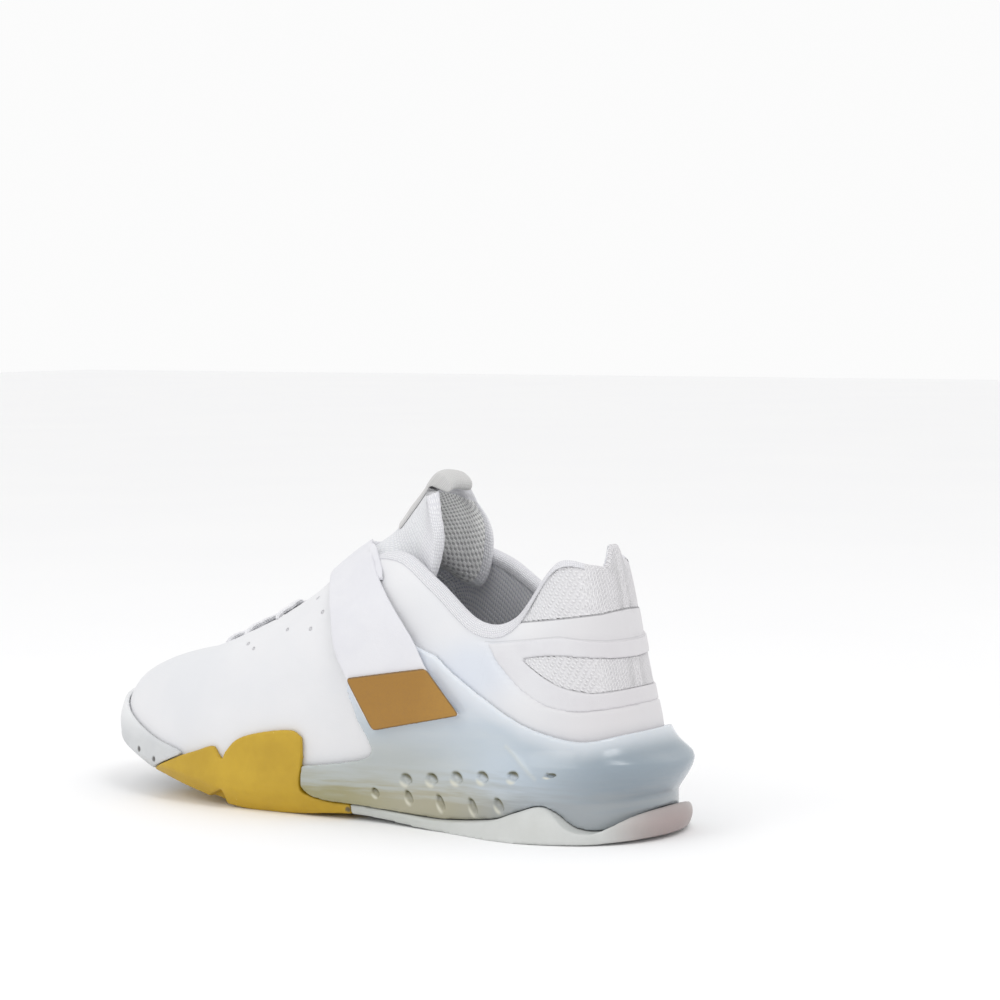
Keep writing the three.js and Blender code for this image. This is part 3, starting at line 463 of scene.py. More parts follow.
def edited(mesh, change):
    """The mesh after a change made by a function of its bmesh"""
    bm = bmesh.new()
    bm.from_mesh(mesh)
    change(bm)
    bm.to_mesh(mesh)
    bm.free()
    return mesh


def face_outward(bm):
    bmesh.ops.recalc_face_normals(bm, faces=bm.faces)
    if bm.calc_volume(signed=True) < 0:
        bmesh.ops.reverse_faces(bm, faces=bm.faces)


def vectors(source, name):
    flat = np.empty(3 * len(source))
    source.foreach_get(name, flat)
    return flat.reshape(-1, 3)


def vertex_points(mesh):
    return vectors(mesh.vertices, "co")


def move_vertices(mesh, points):
    mesh.vertices.foreach_set("co", points.ravel())
    mesh.update()


def set_uv(mesh, u, v):
    """U and V of each vertex, in millimetres"""
    uv = np.stack(np.broadcast_arrays(u, v), -1).reshape(-1, 2)
    layer = mesh.uv_layers.new(name="UVMap")
    index = np.empty(len(mesh.loops), int)
    mesh.loops.foreach_get("vertex_index", index)
    layer.data.foreach_set("uv", uv[index].ravel())


def set_attribute(mesh, name, values):
    attribute = mesh.attributes.new(name, "FLOAT", "POINT")
    attribute.data.foreach_set("value", np.asarray(values, float).ravel())


# Materials: colours are given as they look, from 0 to 255

def linear(r, g, b):
    """A colour in the renderer's own values"""
    return tuple(c / 255 / 12.92 if c <= 10 else ((c / 255 + 0.055) / 1.055) ** 2.4 for c in (r, g, b))


class Field:
    """A node's output, which can be reckoned with like a number"""

    def __init__(self, shader, socket):
        self.shader, self.socket = shader, socket

    def __add__(self, other):
        return self.shader.math("ADD", self, other)

    def __sub__(self, other):
        return self.shader.math("SUBTRACT", self, other)

    def __rsub__(self, other):
        return self.shader.math("SUBTRACT", other, self)

    def __mul__(self, other):
        return self.shader.math("MULTIPLY", self, other)


class Shader:
    """Short calls that build one material's nodes"""

    def __init__(self, name, **settings):
        self.material = bpy.data.materials.new(name)
        self.material.use_nodes = True
        self.tree = self.material.node_tree
        self.bsdf = self.tree.nodes["Principled BSDF"]
        for key, value in settings.items():
            self.join(value, self.bsdf.inputs[key.replace("_", " ").title()])

    def join(self, value, socket):
        if isinstance(value, Field):
            self.tree.links.new(value.socket, socket)
        elif socket.type == "RGBA":
            socket.default_value = (*linear(*value), 1.0)
        else:
            socket.default_value = value

    def node(self, kind, inputs=(), output=0, **settings):
        n = self.tree.nodes.new("ShaderNode" + kind)
        for key, value in settings.items():
            setattr(n, key, value)
        for key, value in dict(inputs).items():
            self.join(value, n.inputs[key])
        return Field(self, n.outputs[output])

    def math(self, operation, a, b=0.0):
        return self.node("Math", {0: a, 1: b}, operation=operation)

    def ramp(self, value, low, high, to_low=0.0, to_high=1.0):
        inputs = {"Value": value, "From Min": low, "From Max": high, "To Min": to_low, "To Max": to_high}
        return self.node("MapRange", inputs, "Result", interpolation_type="SMOOTHSTEP")

    def line(self, distance, width):
        """1 on a line at distance 0, fading over its width in millimetres"""
        return self.ramp(self.math("ABSOLUTE", distance), 0.0, width, 1.0, 0.0)

    def mix(self, factor, a, b):
        return self.node("Mix", {0: factor, 6: a, 7: b}, 2, data_type="RGBA")

    def scaled(self, vector, x, y, z=1.0):
        return self.node("VectorMath", {0: vector, 1: (x, y, z)}, operation="MULTIPLY")

    def place(self):
        """The position on the object, in millimetres"""
        return self.scaled(self.node("TexCoord", output="Object"), 1000.0, 1000.0, 1000.0)

    def uv(self):
        return self.node("TexCoord", output="UV")

    def split(self, vector):
        parts = self.node("SeparateXYZ", {0: vector}).socket.node.outputs
        return [Field(self, part) for part in parts]

    def noise(self, vector, scale, detail=2.0, roughness=0.5):
        inputs = {"Vector": vector, "Scale": scale, "Detail": detail, "Roughness": roughness}
        return self.node("TexNoise", inputs, "Fac")

    def cells(self, vector, scale, randomness=1.0):
        return self.node("TexVoronoi", {"Vector": vector, "Scale": scale, "Randomness": randomness}, "Distance")

    def attribute(self, name):
        return self.node("Attribute", output="Fac", attribute_name=name)

    def bump(self, height, depth, normal=None):
        """height from 0 to 1 over a depth in millimetres"""
        inputs = {"Height": height, "Distance": depth / 1000, "Strength": 1.0}
        if normal:
            inputs["Normal"] = normal
        return self.node("Bump", inputs, "Normal")

    def finish(self, color, normal=None, roughness=None):
        for name, value in (("Base Color", color), ("Normal", normal), ("Roughness", roughness)):
            if value is not None:
                self.join(value, self.bsdf.inputs[name])
        return self.material


def film_material():
    """Smooth film with knit showing at the heel's top and in the counter's window"""
    s = Shader("film", roughness=0.5)
    p, uv = s.place(), s.uv()
    x = s.split(p)[0]
    u, v = s.split(uv)[:2]
    film = s.mix(s.ramp(s.noise(p, 0.02, 3.0), 0.35, 0.65), (226, 226, 228), (221, 222, 225))
    film = s.mix(s.ramp(s.attribute("cool"), 0.0, 1.0, 0.0, 0.8), film, (212, 218, 228))
    # painted shade: the film darkens towards the heel's back
    film = s.mix(s.ramp(x, -38.0, 10.0, 0.75, 0.0), film, (208, 205, 207))
    knit, window = s.attribute("knit"), s.attribute("window")
    textile = s.math("MAXIMUM", s.ramp(knit, -0.15, 0.25), s.ramp(window, -0.15, 0.25))
    # ribs up the heel, and diagonal rows of dots further forward
    waver = s.noise(s.scaled(uv, 0.1, 0.2), 1.0, 1.0) * 2.0
    rib = s.math("SINE", (u + waver + v * -0.12) * 4.1)
    tick = s.math("SINE", v * 3.3 + u * 1.85)
    ribs = s.ramp(rib, -0.8, 0.8) * s.ramp(tick, -1.0, 0.5, 0.55, 1.0)
    cell = s.node("CombineXYZ", {0: u * 0.8 + v * 0.6, 1: v * 0.8 - u * 0.6})
    dots = s.ramp(s.cells(s.scaled(cell, 0.42, 0.62), 1.0, 0.2), 0.1, 0.52, 1.0, 0.0)
    height = s.node("Mix", {0: s.ramp(u, 14.0, 30.0), 2: ribs, 3: dots}, data_type="FLOAT")
    height = height + s.noise(uv, 2.0, 2.0) * 0.3
    cloth = s.mix(s.ramp(height, 0.05, 0.85), (220, 220, 223), (242, 242, 244))
    # painted shade: the textile darkens towards the heel's back too
    cloth = s.mix(s.ramp(x, -38.0, 10.0, 0.5, 0.0), cloth, (212, 208, 210))
    color = s.mix(textile, film, cloth)
    # painted shade: thin dark lines where the film steps down to the textile
    edge = s.math("MAXIMUM", s.line(knit, 0.5), s.line(window, 0.4) * 0.6)
    color = s.mix(edge * 0.55, color, (120, 120, 124))
    # painted shade: a faint dark line in the groove along the band line
    color = s.mix(s.line(s.attribute("band"), 0.4) * 0.25, color, (150, 150, 154))
    # perforations beside the laces: the shade inside each hole is painted as a grey dot
    holes = 0.0
    for hole in PERFORATIONS:
        offset = s.node("VectorMath", {0: p, 1: hole}, "Value", operation="DISTANCE")
        holes = s.math("MAXIMUM", holes, s.ramp(offset, 0.6, 1.1, 1.0, 0.0))
    color = s.mix(holes * 0.45, color, (150, 150, 156))
    normals = {4: s.bump(s.noise(p, 1.6, 4.0, 0.6), 0.04), 5: s.bump(height, 0.5)}
    either = s.node("Mix", {0: textile, **normals}, 1, data_type="VECTOR")
    normal = s.bump(1.0 - s.math("MAXIMUM", edge, holes), 0.5, either)
    return s.finish(color, normal, s.ramp(textile, 0.0, 1.0, 0.46, 0.85))


def lining_material(name, light, dark, pitch):
    """Open mesh: rows of short dark gaps, each row half a gap further on"""
    s = Shader(name, roughness=0.9, sheen_weight=0.2)
    u, v = s.split(s.uv())[:2]
    row = s.math("COSINE", (v + u * 0.12) * (math.pi / pitch))
    column = s.math("COSINE", u * (math.pi / (1.4 * pitch)))
    gap = s.ramp(row * column, -0.25, 0.6)
    color = s.mix(s.noise(s.uv(), 0.08, 2.0) * 0.15, s.mix(gap, light, dark), dark)
    return s.finish(color, s.bump(1.0 - gap, 0.45))


def woven_material(name, light, dark, period, depth):
    """Fine dotted weave"""
    s = Shader(name, roughness=0.8, sheen_weight=0.25)
    p = s.uv()
    dot = s.ramp(s.cells(s.scaled(p, 1 / period, 1 / period), 1.0, 0.25), 0.1, 0.55, 1.0, 0.0)
    height = dot + s.noise(p, 1.3, 3.0) * 0.4
    return s.finish(s.mix(s.ramp(height, 0.1, 0.9), dark, light), s.bump(height, depth))


def cage_material():
    """Milky ice-blue plastic with the olive core showing through, and painted shade that makes it greyer and darker low
    down and towards the heel
    """
    s = Shader(
        "cage", roughness=0.26, coat_weight=0.4, coat_roughness=0.15,
        subsurface_weight=0.2, subsurface_radius=(0.006, 0.007, 0.008), subsurface_scale=0.4,
    )
    p = s.place()
    x, _, z = s.split(p)
    flow = s.ramp(s.noise(s.scaled(p, 0.012, 0.012, 0.06), 1.0, 4.0, 0.6), 0.35, 0.65)
    body = s.mix(flow, (186, 197, 207), (196, 204, 210))
    # painted shade: darker towards the heel's back
    body = s.mix(s.ramp(x, -45.0, 15.0, 0.9, 0.0), body, (130, 143, 153))
    body = s.mix(s.ramp(z, 40.0, 58.0, 0.0, 0.8), body, (216, 220, 228))
    # painted shade low down: a greyer, darker band, which turns olive forward where the core shows through
    low = s.mix(s.ramp(x, -10.0, 40.0), (154, 160, 164), (164, 160, 138))
    low = s.mix(s.ramp(x, 50.0, 90.0, 0.0, 0.9), low, (149, 144, 104))
    streak = s.ramp(s.noise(s.scaled(p, 0.05, 0.05, 0.5), 1.0, 3.0), 0.3, 0.7, -3.0, 3.0)
    color = s.mix(s.ramp(z + streak, 10.0, 27.0), low, body)
    forward = s.ramp(x, 0.0, 60.0) * s.ramp(z, 45.0, 26.0) * s.ramp(z, 13.0, 21.0)
    color = s.mix(forward * 0.7, color, (170, 173, 167))
    color = s.mix(s.ramp(s.attribute("film_edge"), 9.0, 0.0, 0.0, 0.7), color, (222, 226, 231))
    # painted shade under the steep upper edge of each pocket
    color = s.mix(s.attribute("pocket") * 0.9, color, (92, 88, 42))
    # painted highlight on the gentle lower side of each pocket and along the crease
    color = s.mix(s.attribute("pocket_crease_painted_highlight") * 0.75, color, (214, 212, 196))
    return s.finish(color, s.bump(s.noise(p, 0.08, 2.0), 0.25))


def rubber_material(name, light, dark, roughness, speck=None, tints=()):
    """Clouded rubber or film. Each tint is an axis, where it starts and is full, its share and its colour."""
    s = Shader(name, roughness=roughness)
    p = s.place()
    color = s.mix(s.ramp(s.noise(p, 0.05, 4.0, 0.6), 0.3, 0.7), dark, light)
    for axis, start, full, share, tint in tints:
        color = s.mix(s.ramp(s.split(p)["xyz".index(axis)], start, full, 0.0, share), color, tint)
    if speck:
        color = s.mix(s.ramp(s.cells(p, 0.16), 0.03, 0.07, 0.8, 0.0), color, speck)
    # painted shade in the nicks
    color = s.mix(s.attribute("nick"), color, (72, 70, 66))
    return s.finish(color, s.bump(s.noise(p, 2.5, 3.0) + s.noise(p, 0.35, 2.0) * 0.8, 0.08))


def patch_material():
    s = Shader("patch", roughness=0.4, metallic=0.2, coat_weight=0.15)
    p = s.place()
    fine = s.noise(p, 0.9, 4.0, 0.7)
    color = s.mix(s.ramp(s.noise(p, 0.03, 2.0), 0.3, 0.7), (160, 116, 43), (170, 126, 50))
    color = s.mix(s.ramp(fine, 0.35, 0.75, 0.0, 0.35), color, (146, 106, 52))
    color = s.mix(s.ramp(s.attribute("rim"), 0.25, 0.8, 1.0, 0.0) * 0.6, color, (88, 70, 42))
    return s.finish(color, s.bump(fine, 0.06))


def floor_material():
    s = Shader("floor", roughness=0.9)
    return s.finish(s.mix(s.noise(s.place(), 0.004, 2.0), (250, 250, 250), (247, 247, 248)))


# Beside the laces, in the frame's millimetres: measured on the outer side, and by the rim on the inner side
PERFORATIONS = [
    (x - HEEL_SEAT, y, z) for x, y, z in (
        (170.0, 35.4, 76.7), (155.4, 37.3, 77.8), (151.4, 34.2, 84.9), (191.6, 35.5, 69.3), (186.7, 38.0, 67.8),
        (159.6, 27.2, 89.7),
    )
] + [
    tuple(wall(u, v) - [HEEL_SEAT, 0, 0])
    for u, v in ((1.2, 0.84), (1.17, 0.86), (1.14, 0.84), (1.1, 0.86), (1.24, 0.86), (1.28, 0.84))
]

FILM = film_material()
LINING = lining_material("lining", (252, 252, 254), (216, 218, 226), 1.15)
TONGUE_LINING = lining_material("tongue_lining", (255, 255, 254), (206, 206, 206), 0.95)
BINDING = woven_material("binding", (236, 236, 239), (214, 214, 219), 0.9, 0.2)
TONGUE = woven_material("tongue", (230, 231, 233), (217, 218, 222), 1.3, 0.2)
WEBBING = woven_material("webbing", (206, 206, 205), (196, 195, 194), 1.1, 0.12)
LACE = woven_material("lace", (244, 244, 246), (228, 228, 232), 1.1, 0.2)
SOCK = woven_material("sock", (200, 201, 204), (170, 171, 175), 1.4, 0.2)
CAGE = cage_material()
# heel rubber: darker towards the front, and painted shade with a pinkish painted reflection towards its rear end
HEEL_RUBBER = rubber_material(
    "heel_rubber", (202, 204, 202), (195, 197, 194), 0.5,
    tints=(("x", 5.0, 60.0, 0.7, (184, 187, 182)), ("x", -34.0, -54.0, 0.9, (152, 132, 130))),
)
GOLD = rubber_material("gold_rubber", (195, 160, 38), (183, 148, 30), 0.5, speck=(220, 192, 104))
# toe rubber: a painted highlight lightens its top and painted shade darkens it low down
TOE_RUBBER = rubber_material(
    "toe_grey", (206, 208, 209), (198, 200, 202), 0.6,
    tints=(("z", 22.0, 36.0, 0.9, (230, 231, 232)), ("z", 20.0, 8.0, 0.6, (192, 194, 195))),
)
PATCH = patch_material()
FOAM = rubber_material("foam", (196, 192, 164), (184, 180, 150), 0.85)
STRAP_FILM = rubber_material("strap_film", (224, 224, 228), (220, 220, 225), 0.46)
# counter film: painted shade darkens it towards the heel's back
COUNTER_FILM = rubber_material(
    "counter_film", (220, 220, 223), (214, 213, 217), 0.45, tints=(("x", 0.0, -46.0, 0.7, (208, 204, 206)),)
)


# Upper

def upper_thickness(u, v):
    collar = 1 - smoothstep(from_heel(u), *COLLAR_END)
    padding = COLLAR_PADDING * (1 - 0.7 * heel_tab(u))
    return UPPER_WALL + padding * collar * smoothstep(v, 0.35, 0.85)


def above(points, rows):
    """How far above a side-view line points are, in millimetres"""
    return points[..., 2] - np.interp(points[..., 0], rows["x"], rows["z"])


def heel_relief(points):
    """Signed distances on the heel, and how far the film stands out there"""
    x = points[..., 0]
    knit = np.minimum(above(points, KNIT_LINE), KNIT_FRONT - x)
    window = np.minimum(-above(points, WINDOW_TOP), above(points, WINDOW_LOW))
    window = np.minimum(window, WINDOW_FRONT - x)
    band = np.where(x < BAND_FRONT, above(points, BAND_LINE), FAR_OFF)
    below_ring = -above(points, RING_LOW)
    out = 0.9 * smoothstep(below_ring, -0.6, 0.6) * smoothstep(below_ring, 16, 6) * smoothstep(x, 76, 62)
    out = out - 0.55 * smoothstep(knit, -0.6, 0.6)
    out = out - 0.35 * np.exp(-(band / 1.1) ** 2) * smoothstep(x, BAND_FRONT, 58)
    return knit, window, band, out


def soft_dents(points):
    """Slight troughs and swellings of the upper"""
    x, y, z = np.moveaxis(points, -1, 0)
    flex = -0.5 * np.exp(-((x - 196 + 0.25 * (z - 50)) / 5) ** 2) * smoothstep(z, 34, 48)
    under_laces = 0.35 * np.sin(x / 7.5 + z / 11) * smoothstep(z, 52, 62) * smoothstep(x, 150, 165)
    wave = 0.25 * np.sin(x / 19 + 1) * np.sin(z / 13 + y / 23)
    return flex + under_laces + wave


def rim_start(u):
    """Where the wall's outer side ends below the collar's rim, and what v goes down for a millimetre"""
    thick = upper_thickness(u, 1.0)
    slope = wall(u, 1.0) - wall(u, 1 - RIM_STEP)
    reach = RIM_STEP / np.linalg.norm(slope, axis=-1)
    return 1 - reach * np.minimum(thick / 2, RIM_HEIGHT), reach


def rim_arch(u, start, lift):
    """Lines over the collar's rim, from points at the top of its outer side to its inner side"""
    half = upper_thickness(u, 1.0) / 2
    up = unit(wall(u, 1.0) - wall(u, 1 - RIM_STEP))
    normal = wall_normal(u, rim_start(u)[0])
    centre = start - normal * half[:, None]
    height = np.minimum(half, RIM_HEIGHT) + lift
    return [
        centre + normal * ((half + lift) * np.cos(a))[:, None] + up * (height * np.sin(a))[:, None]
        for a in np.pi * np.arange(1, 8) / 8
    ]


def build_upper():
    u = 2 * np.arange(AROUND) / AROUND
    top_v = rim_start(u)[0][:, None]
    across = u[:, None]
    v = top_v * np.linspace(0, 1, OUTER_ROWS)
    flat = wall(across, v)
    knit, window, band, out = heel_relief(flat)
    outer = flat + wall_normal(across, v) * (out + soft_dents(flat))[..., None]
    arch = rim_arch(u, outer[:, -1], 0)
    v = top_v * np.linspace(1, 0, INNER_ROWS)
    inner = wall_offset(across, v, -upper_thickness(across, v))
    inner[:, -1, 2] = foot_point(u)[:, 2]
    points = np.concatenate([outer, np.stack(arch, 1), inner], 1)
    rows = points.shape[1]
    faces = grid_faces(AROUND, rows, closed=True, ring=True)
    mesh = new_mesh("upper", points, faces)
    # U follows the length round the shoe on both sides, and V the way up the wall
    run = run_length(wall(np.append(u, 2.0), 0.6))
    set_uv(mesh, np.minimum(run, run[-1] - run)[:-1, None], run_length(points, 1))
    cool = np.exp(-((flat[..., 0] - 74) / 22) ** 2 - ((flat[..., 2] - 66) / 13) ** 2) * (flat[..., 1] > 0)
    knit = np.concatenate([knit, np.repeat(knit[:, -1:], len(arch), 1)], 1)
    fields = {"knit": (knit, -FAR_OFF), "window": (window, -FAR_OFF), "band": (band, FAR_OFF), "cool": (cool, 0.0)}
    for name, (values, inside) in fields.items():
        rest = np.full((AROUND, rows - values.shape[1]), inside)
        set_attribute(mesh, name, np.concatenate([values, rest], 1))
    piece("upper_shell", mesh, [FILM, LINING], "upper")
    mesh.polygons.foreach_set("material_index", [int(f[0] % rows >= OUTER_ROWS + 3) for f in faces])


def build_binding(side, name):
    """The textile band over the collar's rim on one side, from the heel's knit to the throat"""
    u = side * np.linspace(BINDING_START[0], BINDING_END[0], BINDING_COUNT)
    far = np.abs(u)
    top_v, reach = rim_start(u)
    wide = 0.7 + 2.5 * smoothstep(far, 0.2, 0.34) * smoothstep(far, 0.7, 0.6)
    lift = 0.5 * smoothstep(far, *BINDING_START) * smoothstep(far, *BINDING_END) - 0.12
    thick = upper_thickness(u, top_v)
    lines = [
        wall_offset(u, top_v - reach * wide * back, lift * share)
        for back, share in ((1.0, -0.7), (1.0, 0.5), (0.93, 1.1), (0.7, 1.0), (0.4, 1.0), (0.0, 1.0))
    ]
    lines += rim_arch(u, wall(u, top_v), lift)
    lines += [wall_offset(u, top_v - reach * down, -thick - lift) for down in (0.78, 1.82, 2.6)]
    lines.append(wall_offset(u, top_v - reach * 2.7, -thick + 0.4))
    points = np.stack(lines, 1)
    mesh = new_mesh("binding", points, grid_faces(*points.shape[:2], flip=side < 0))
    set_uv(mesh, run_length(points[:, 5])[:, None], run_length(points, 1))
    piece(name, mesh, [BINDING], slot="upper")


# Sole

ROUND = 2 * np.arange(FORM_AROUND) / FORM_AROUND


def sole_level(name, low=False):
    """A line round the sole's side, or below it on the tread"""
    out = around(SOLE_SIDE, ROUND, name) * SOLE_FLARE
    p = foot_point(ROUND) + plan_normal(foot_point, ROUND) * out[:, None]
    p[:, 2] = tread_z(p[:, 0])
    if not low:
        p[:, 2] += around(SOLE_LEVELS, ROUND, name) * HEEL_STACK
    return p


def side_form(first, levels):
    """The sole with its side on smooth curves through levels, and on up round the upper"""
    hug = [wall_offset(ROUND, v, SHELL_WALL + GAP) for v in (0.16, 0.28, 0.4, 0.52, 0.64)]
    return loft(first + spline(levels + [sole_level(name) for name in ("neck", "ridge", "shoulder")] + hug, 4))


def core_form():
    p = foot_point(ROUND) + plan_normal(foot_point, ROUND) * (GAP - CORE_INSET)
    low, high = p.copy(), p.copy()
    low[:, 2] = tread_z(p[:, 0]) + TREAD_PLATE - GAP
    high[:, 2] = bed_z(p[:, 0]) + GAP
    return loft([low, high])


def upper_form(distance, top):
    levels = [wall_offset(ROUND, v, distance) for v in np.linspace(0, top, 26)]
    levels[0][:, 2] = foot_point(ROUND)[:, 2] - GAP
    return loft(levels)


def gold_outline():
    tail, low = side_points(GOLD_TAIL), TOE_SEAM["low"] * LENGTH
    back = spline([tail[0] + [GAP, 0]] + tail[1:] + side_points(GOLD_TOP))
    seam = [(low, TOE_SEAM["lowZ"] * HEEL_STACK), (low, UNDER_FLOOR)]
    return [(tail[0][0] + GAP, UNDER_FLOOR)] + back + spline(side_points(GOLD_FRONT)) + seam


def toe_outline():
    low, top = ((TOE_SEAM[name] + TOE_SEAM["slit"]) * LENGTH for name in ("low", "top"))
    rise = spline([(top, TOE_SEAM["topZ"] * HEEL_STACK)] + side_points(TOE_TOP))
    return [(low, UNDER_FLOOR), (low, TOE_SEAM["lowZ"] * HEEL_STACK)] + rise + [(rise[-1][0], UNDER_FLOOR)]


def heel_outline():
    wave = spline(side_points(WAVE))
    return [(wave[0][0], UNDER_FLOOR)] + wave + [(wave[-1][0], UNDER_FLOOR)]


def cage_outline():
    tail = [p - [2 * GAP, 0] for p in side_points(GOLD_TAIL, GAP)[1:4]]
    corner = (tail[2][0], 0.63 * HEEL_STACK)
    front = spline([corner] + side_points(CAGE_FRONT)[::-1] + side_points(CAGE_TOP)[::-1])
    return spline(side_points(WAVE, GAP) + tail) + front


def pressed(mesh, depths):
    """Pushes a mesh's outer sides in along their normals, by a depth for each vertex"""
    points, normals = vertex_points(mesh), vectors(mesh.vertex_normals, "vector")
    tree = BVHTree.FromPolygons([v.co[:] for v in mesh.vertices], [p.vertices[:] for p in mesh.polygons])
    for i in np.flatnonzero(np.abs(depths) > 1e-3):
        side = math.copysign(1.0, points[i, 1])
        outside = tree.ray_cast(Vector(points[i]) + Vector((0, side * GAP, 0)), Vector((0, side, 0)))[0] is None
        if outside and normals[i, 1] * side > 0.15:
            points[i] -= normals[i] * depths[i]
    move_vertices(mesh, points)


def pocket_distances(points):
    """For each pocket, how far points are from its middle, 1 at its edge, and on which side of it"""
    for x, z, wide, high, lean in zip(*POCKETS.values()):
        dx, dz = points[:, 0] - x, points[:, 2] - z
        a = (math.cos(lean) * dx + math.sin(lean) * dz) / wide
        b = (math.cos(lean) * dz - math.sin(lean) * dx) / high
        r = np.hypot(a, b)
        yield r, (0.6 * b - 0.8 * a) / np.maximum(r, 0.3)


def pocket_relief(points):
    """Depth of the pockets, steep at the upper edge towards the heel, and masks of their painted shade and painted
    highlight
    """
    depth, shade, glow = np.zeros((3, len(points)))
    for r, toward in pocket_distances(points):
        bowl = smoothstep(r, 1.1, 0.45 + 0.4 * toward) * (0.15 + 0.85 * smoothstep(toward * r, -0.8, 0.6))
        depth = np.maximum(depth, POCKET_DEEP * bowl)
        shade = np.maximum(shade, smoothstep(r, 1.35, 0.9) * smoothstep(toward * r, 0.15, 0.75))
        glow = np.maximum(glow, smoothstep(r, 1.15, 0.6) * smoothstep(-toward * r, 0.15, 0.7))
    return depth, shade, glow


def segment_distance(points, a, b):
    flat = points[:, [0, 2]] - a
    share = np.clip(flat @ (b - a) / ((b - a) @ (b - a)), 0, 1)
    return np.linalg.norm(flat - share[:, None] * (b - a), axis=-1)


def build_cage(room):
    cage = combine(side_form([sole_level("neck", low=True)], []), room, "DIFFERENCE")
    cage = moulded(combine(cage, prism(cage_outline()), "INTERSECT"), 0.8, 3)

    def cut_pockets(bm):
        """Cuts the faces of the outer sides in four round the pockets"""
        edges = [e for e in bm.edges if all(near[v.index] for v in e.verts)]
        bmesh.ops.subdivide_edges(bm, edges=edges, cuts=1, use_grid_fill=True)

    for margin in (1.7, 1.45):
        points = vertex_points(cage)
        near = np.min([r for r, _ in pocket_distances(points)], axis=0) < margin
        near &= vectors(cage.vertex_normals, "vector")[:, 1] * np.sign(points[:, 1]) > 0
        edited(cage, cut_pockets)
    points = vertex_points(cage)
    depth, shade, glow = pocket_relief(points)
    crease = np.exp(-(segment_distance(points, *np.array(CAGE_CREASE)) / 0.75) ** 2)
    top = np.interp(points[:, 0] / LENGTH, CAGE_TOP["x"], CAGE_TOP["z"]) * HEEL_STACK
    pressed(cage, depth - 0.25 * crease)
    # painted shade in the pockets, and painted highlights on their lower sides and along the crease
    set_attribute(cage, "pocket", shade)
    set_attribute(cage, "pocket_crease_painted_highlight", np.maximum(glow, 0.35 * crease))
    set_attribute(cage, "film_edge", top - points[:, 2])
    piece("cage_shell", cage, [CAGE], "midsole_cage")


def ball(x, y, z, radius):
    spot = Matrix.Translation((x, y, z))
    make = lambda bm: bmesh.ops.create_icosphere(bm, subdivisions=2, radius=radius, matrix=spot)
    return edited(bpy.data.meshes.new("ball"), make)


def nick_shade(mesh, nicks):
    points = vertex_points(mesh)
    near = [smoothstep(np.linalg.norm(points - n[:3], axis=-1), n[3] * 1.25, n[3] * 0.8) for n in nicks]
    set_attribute(mesh, "nick", 0.85 * np.max(near, axis=0))


def build_sole():
    room = combine(core_form(), upper_form(GAP, 0.9), "UNION")
    outsole = combine(side_form([], [sole_level("tread", low=True), sole_level("ledge")]), room, "DIFFERENCE")
    build_cage(room)
    piece("heel_tread", moulded(combine(outsole, prism(heel_outline()), "INTERSECT")), [HEEL_RUBBER], "outsole_heel")
    gold = combine(outsole, prism(gold_outline()), "INTERSECT")
    for side in (1, -1):
        ends = sorted((side * 0.45 * BALL_WIDTH, side * BALL_WIDTH))
        gold = combine(gold, prism(side_points(FLEX_NOTCH), *ends), "DIFFERENCE")
    gold = moulded(gold)
    points = vertex_points(gold)
    below = np.interp(points[:, 0], GOLD_CREASE["x"], GOLD_CREASE["z"]) - points[:, 2]
    within = smoothstep(points[:, 0], 148, 160) * smoothstep(points[:, 0], 240, 232)
    inward = np.clip(0.14 * below, 0, 1.6) * within * smoothstep(np.abs(points[:, 1]), 30, 42)
    points[:, 1] *= 1 - inward / BALL_WIDTH * 2
    move_vertices(gold, points)
    # the gold rubber's nick is painted shade only, with no cut
    nick_shade(gold, (GOLD_NICK,))
    piece("forefoot_tread", gold, [GOLD], "outsole_forefoot")
    toe = combine(outsole, prism(toe_outline()), "INTERSECT")
    for nick in TOE_NICKS:
        toe = combine(toe, ball(*nick), "DIFFERENCE")
    toe = moulded(toe, 0.6)
    nick_shade(toe, TOE_NICKS)
    piece("toe_bumper", toe, [TOE_RUBBER], "toe_rubber")


# Insole, counter, tongue, strap and laces

def build_insole():
    u = 2 * np.arange(160) / 160
    rise = 3 * around(WALL_BEND, u, "rise") * UPPER_HEIGHT
    loops = []
    for shrink, height in (
        (0.8, 0.0), (0.0, 0.8), (0.0, INSOLE_THICKNESS - 1), (0.4, INSOLE_THICKNESS - 0.3), (1.4, INSOLE_THICKNESS)
    ):
        p = wall(u, (GAP + height) / rise) - plan_normal(foot_point, u) * (UPPER_WALL + 2 * GAP + shrink)
        p[:, 2] = bed_z(p[:, 0]) + GAP + height
        loops.append(p)
    mesh = loft(loops)
    set_uv(mesh, *vertex_points(mesh).T[:2])
    piece("sock_liner", mesh, [SOCK], "insole")


def build_counter():
    ring = combine(upper_form(GAP + COUNTER_THICKNESS, 0.9), upper_form(-1.0, 0.95), "DIFFERENCE")
    for low, top, operation in (
        (side_points(RING_LOW, 0.5, (1, 1)), side_points(BAND_LINE, -0.6, (1, 1)), "INTERSECT"),
        (side_points(WINDOW_LOW, 0, (1, 1)), side_points(WINDOW_TOP, 0, (1, 1)), "DIFFERENCE"),
    ):
        outline = [(BEHIND_HEEL, low[0][1])] + spline(low) + spline(top[::-1]) + [(BEHIND_HEEL, top[0][1])]
        ring = combine(ring, prism(outline), operation)
    piece("counter_bands", moulded(ring, 0.55, 5), [COUNTER_FILM], "heel_counter")


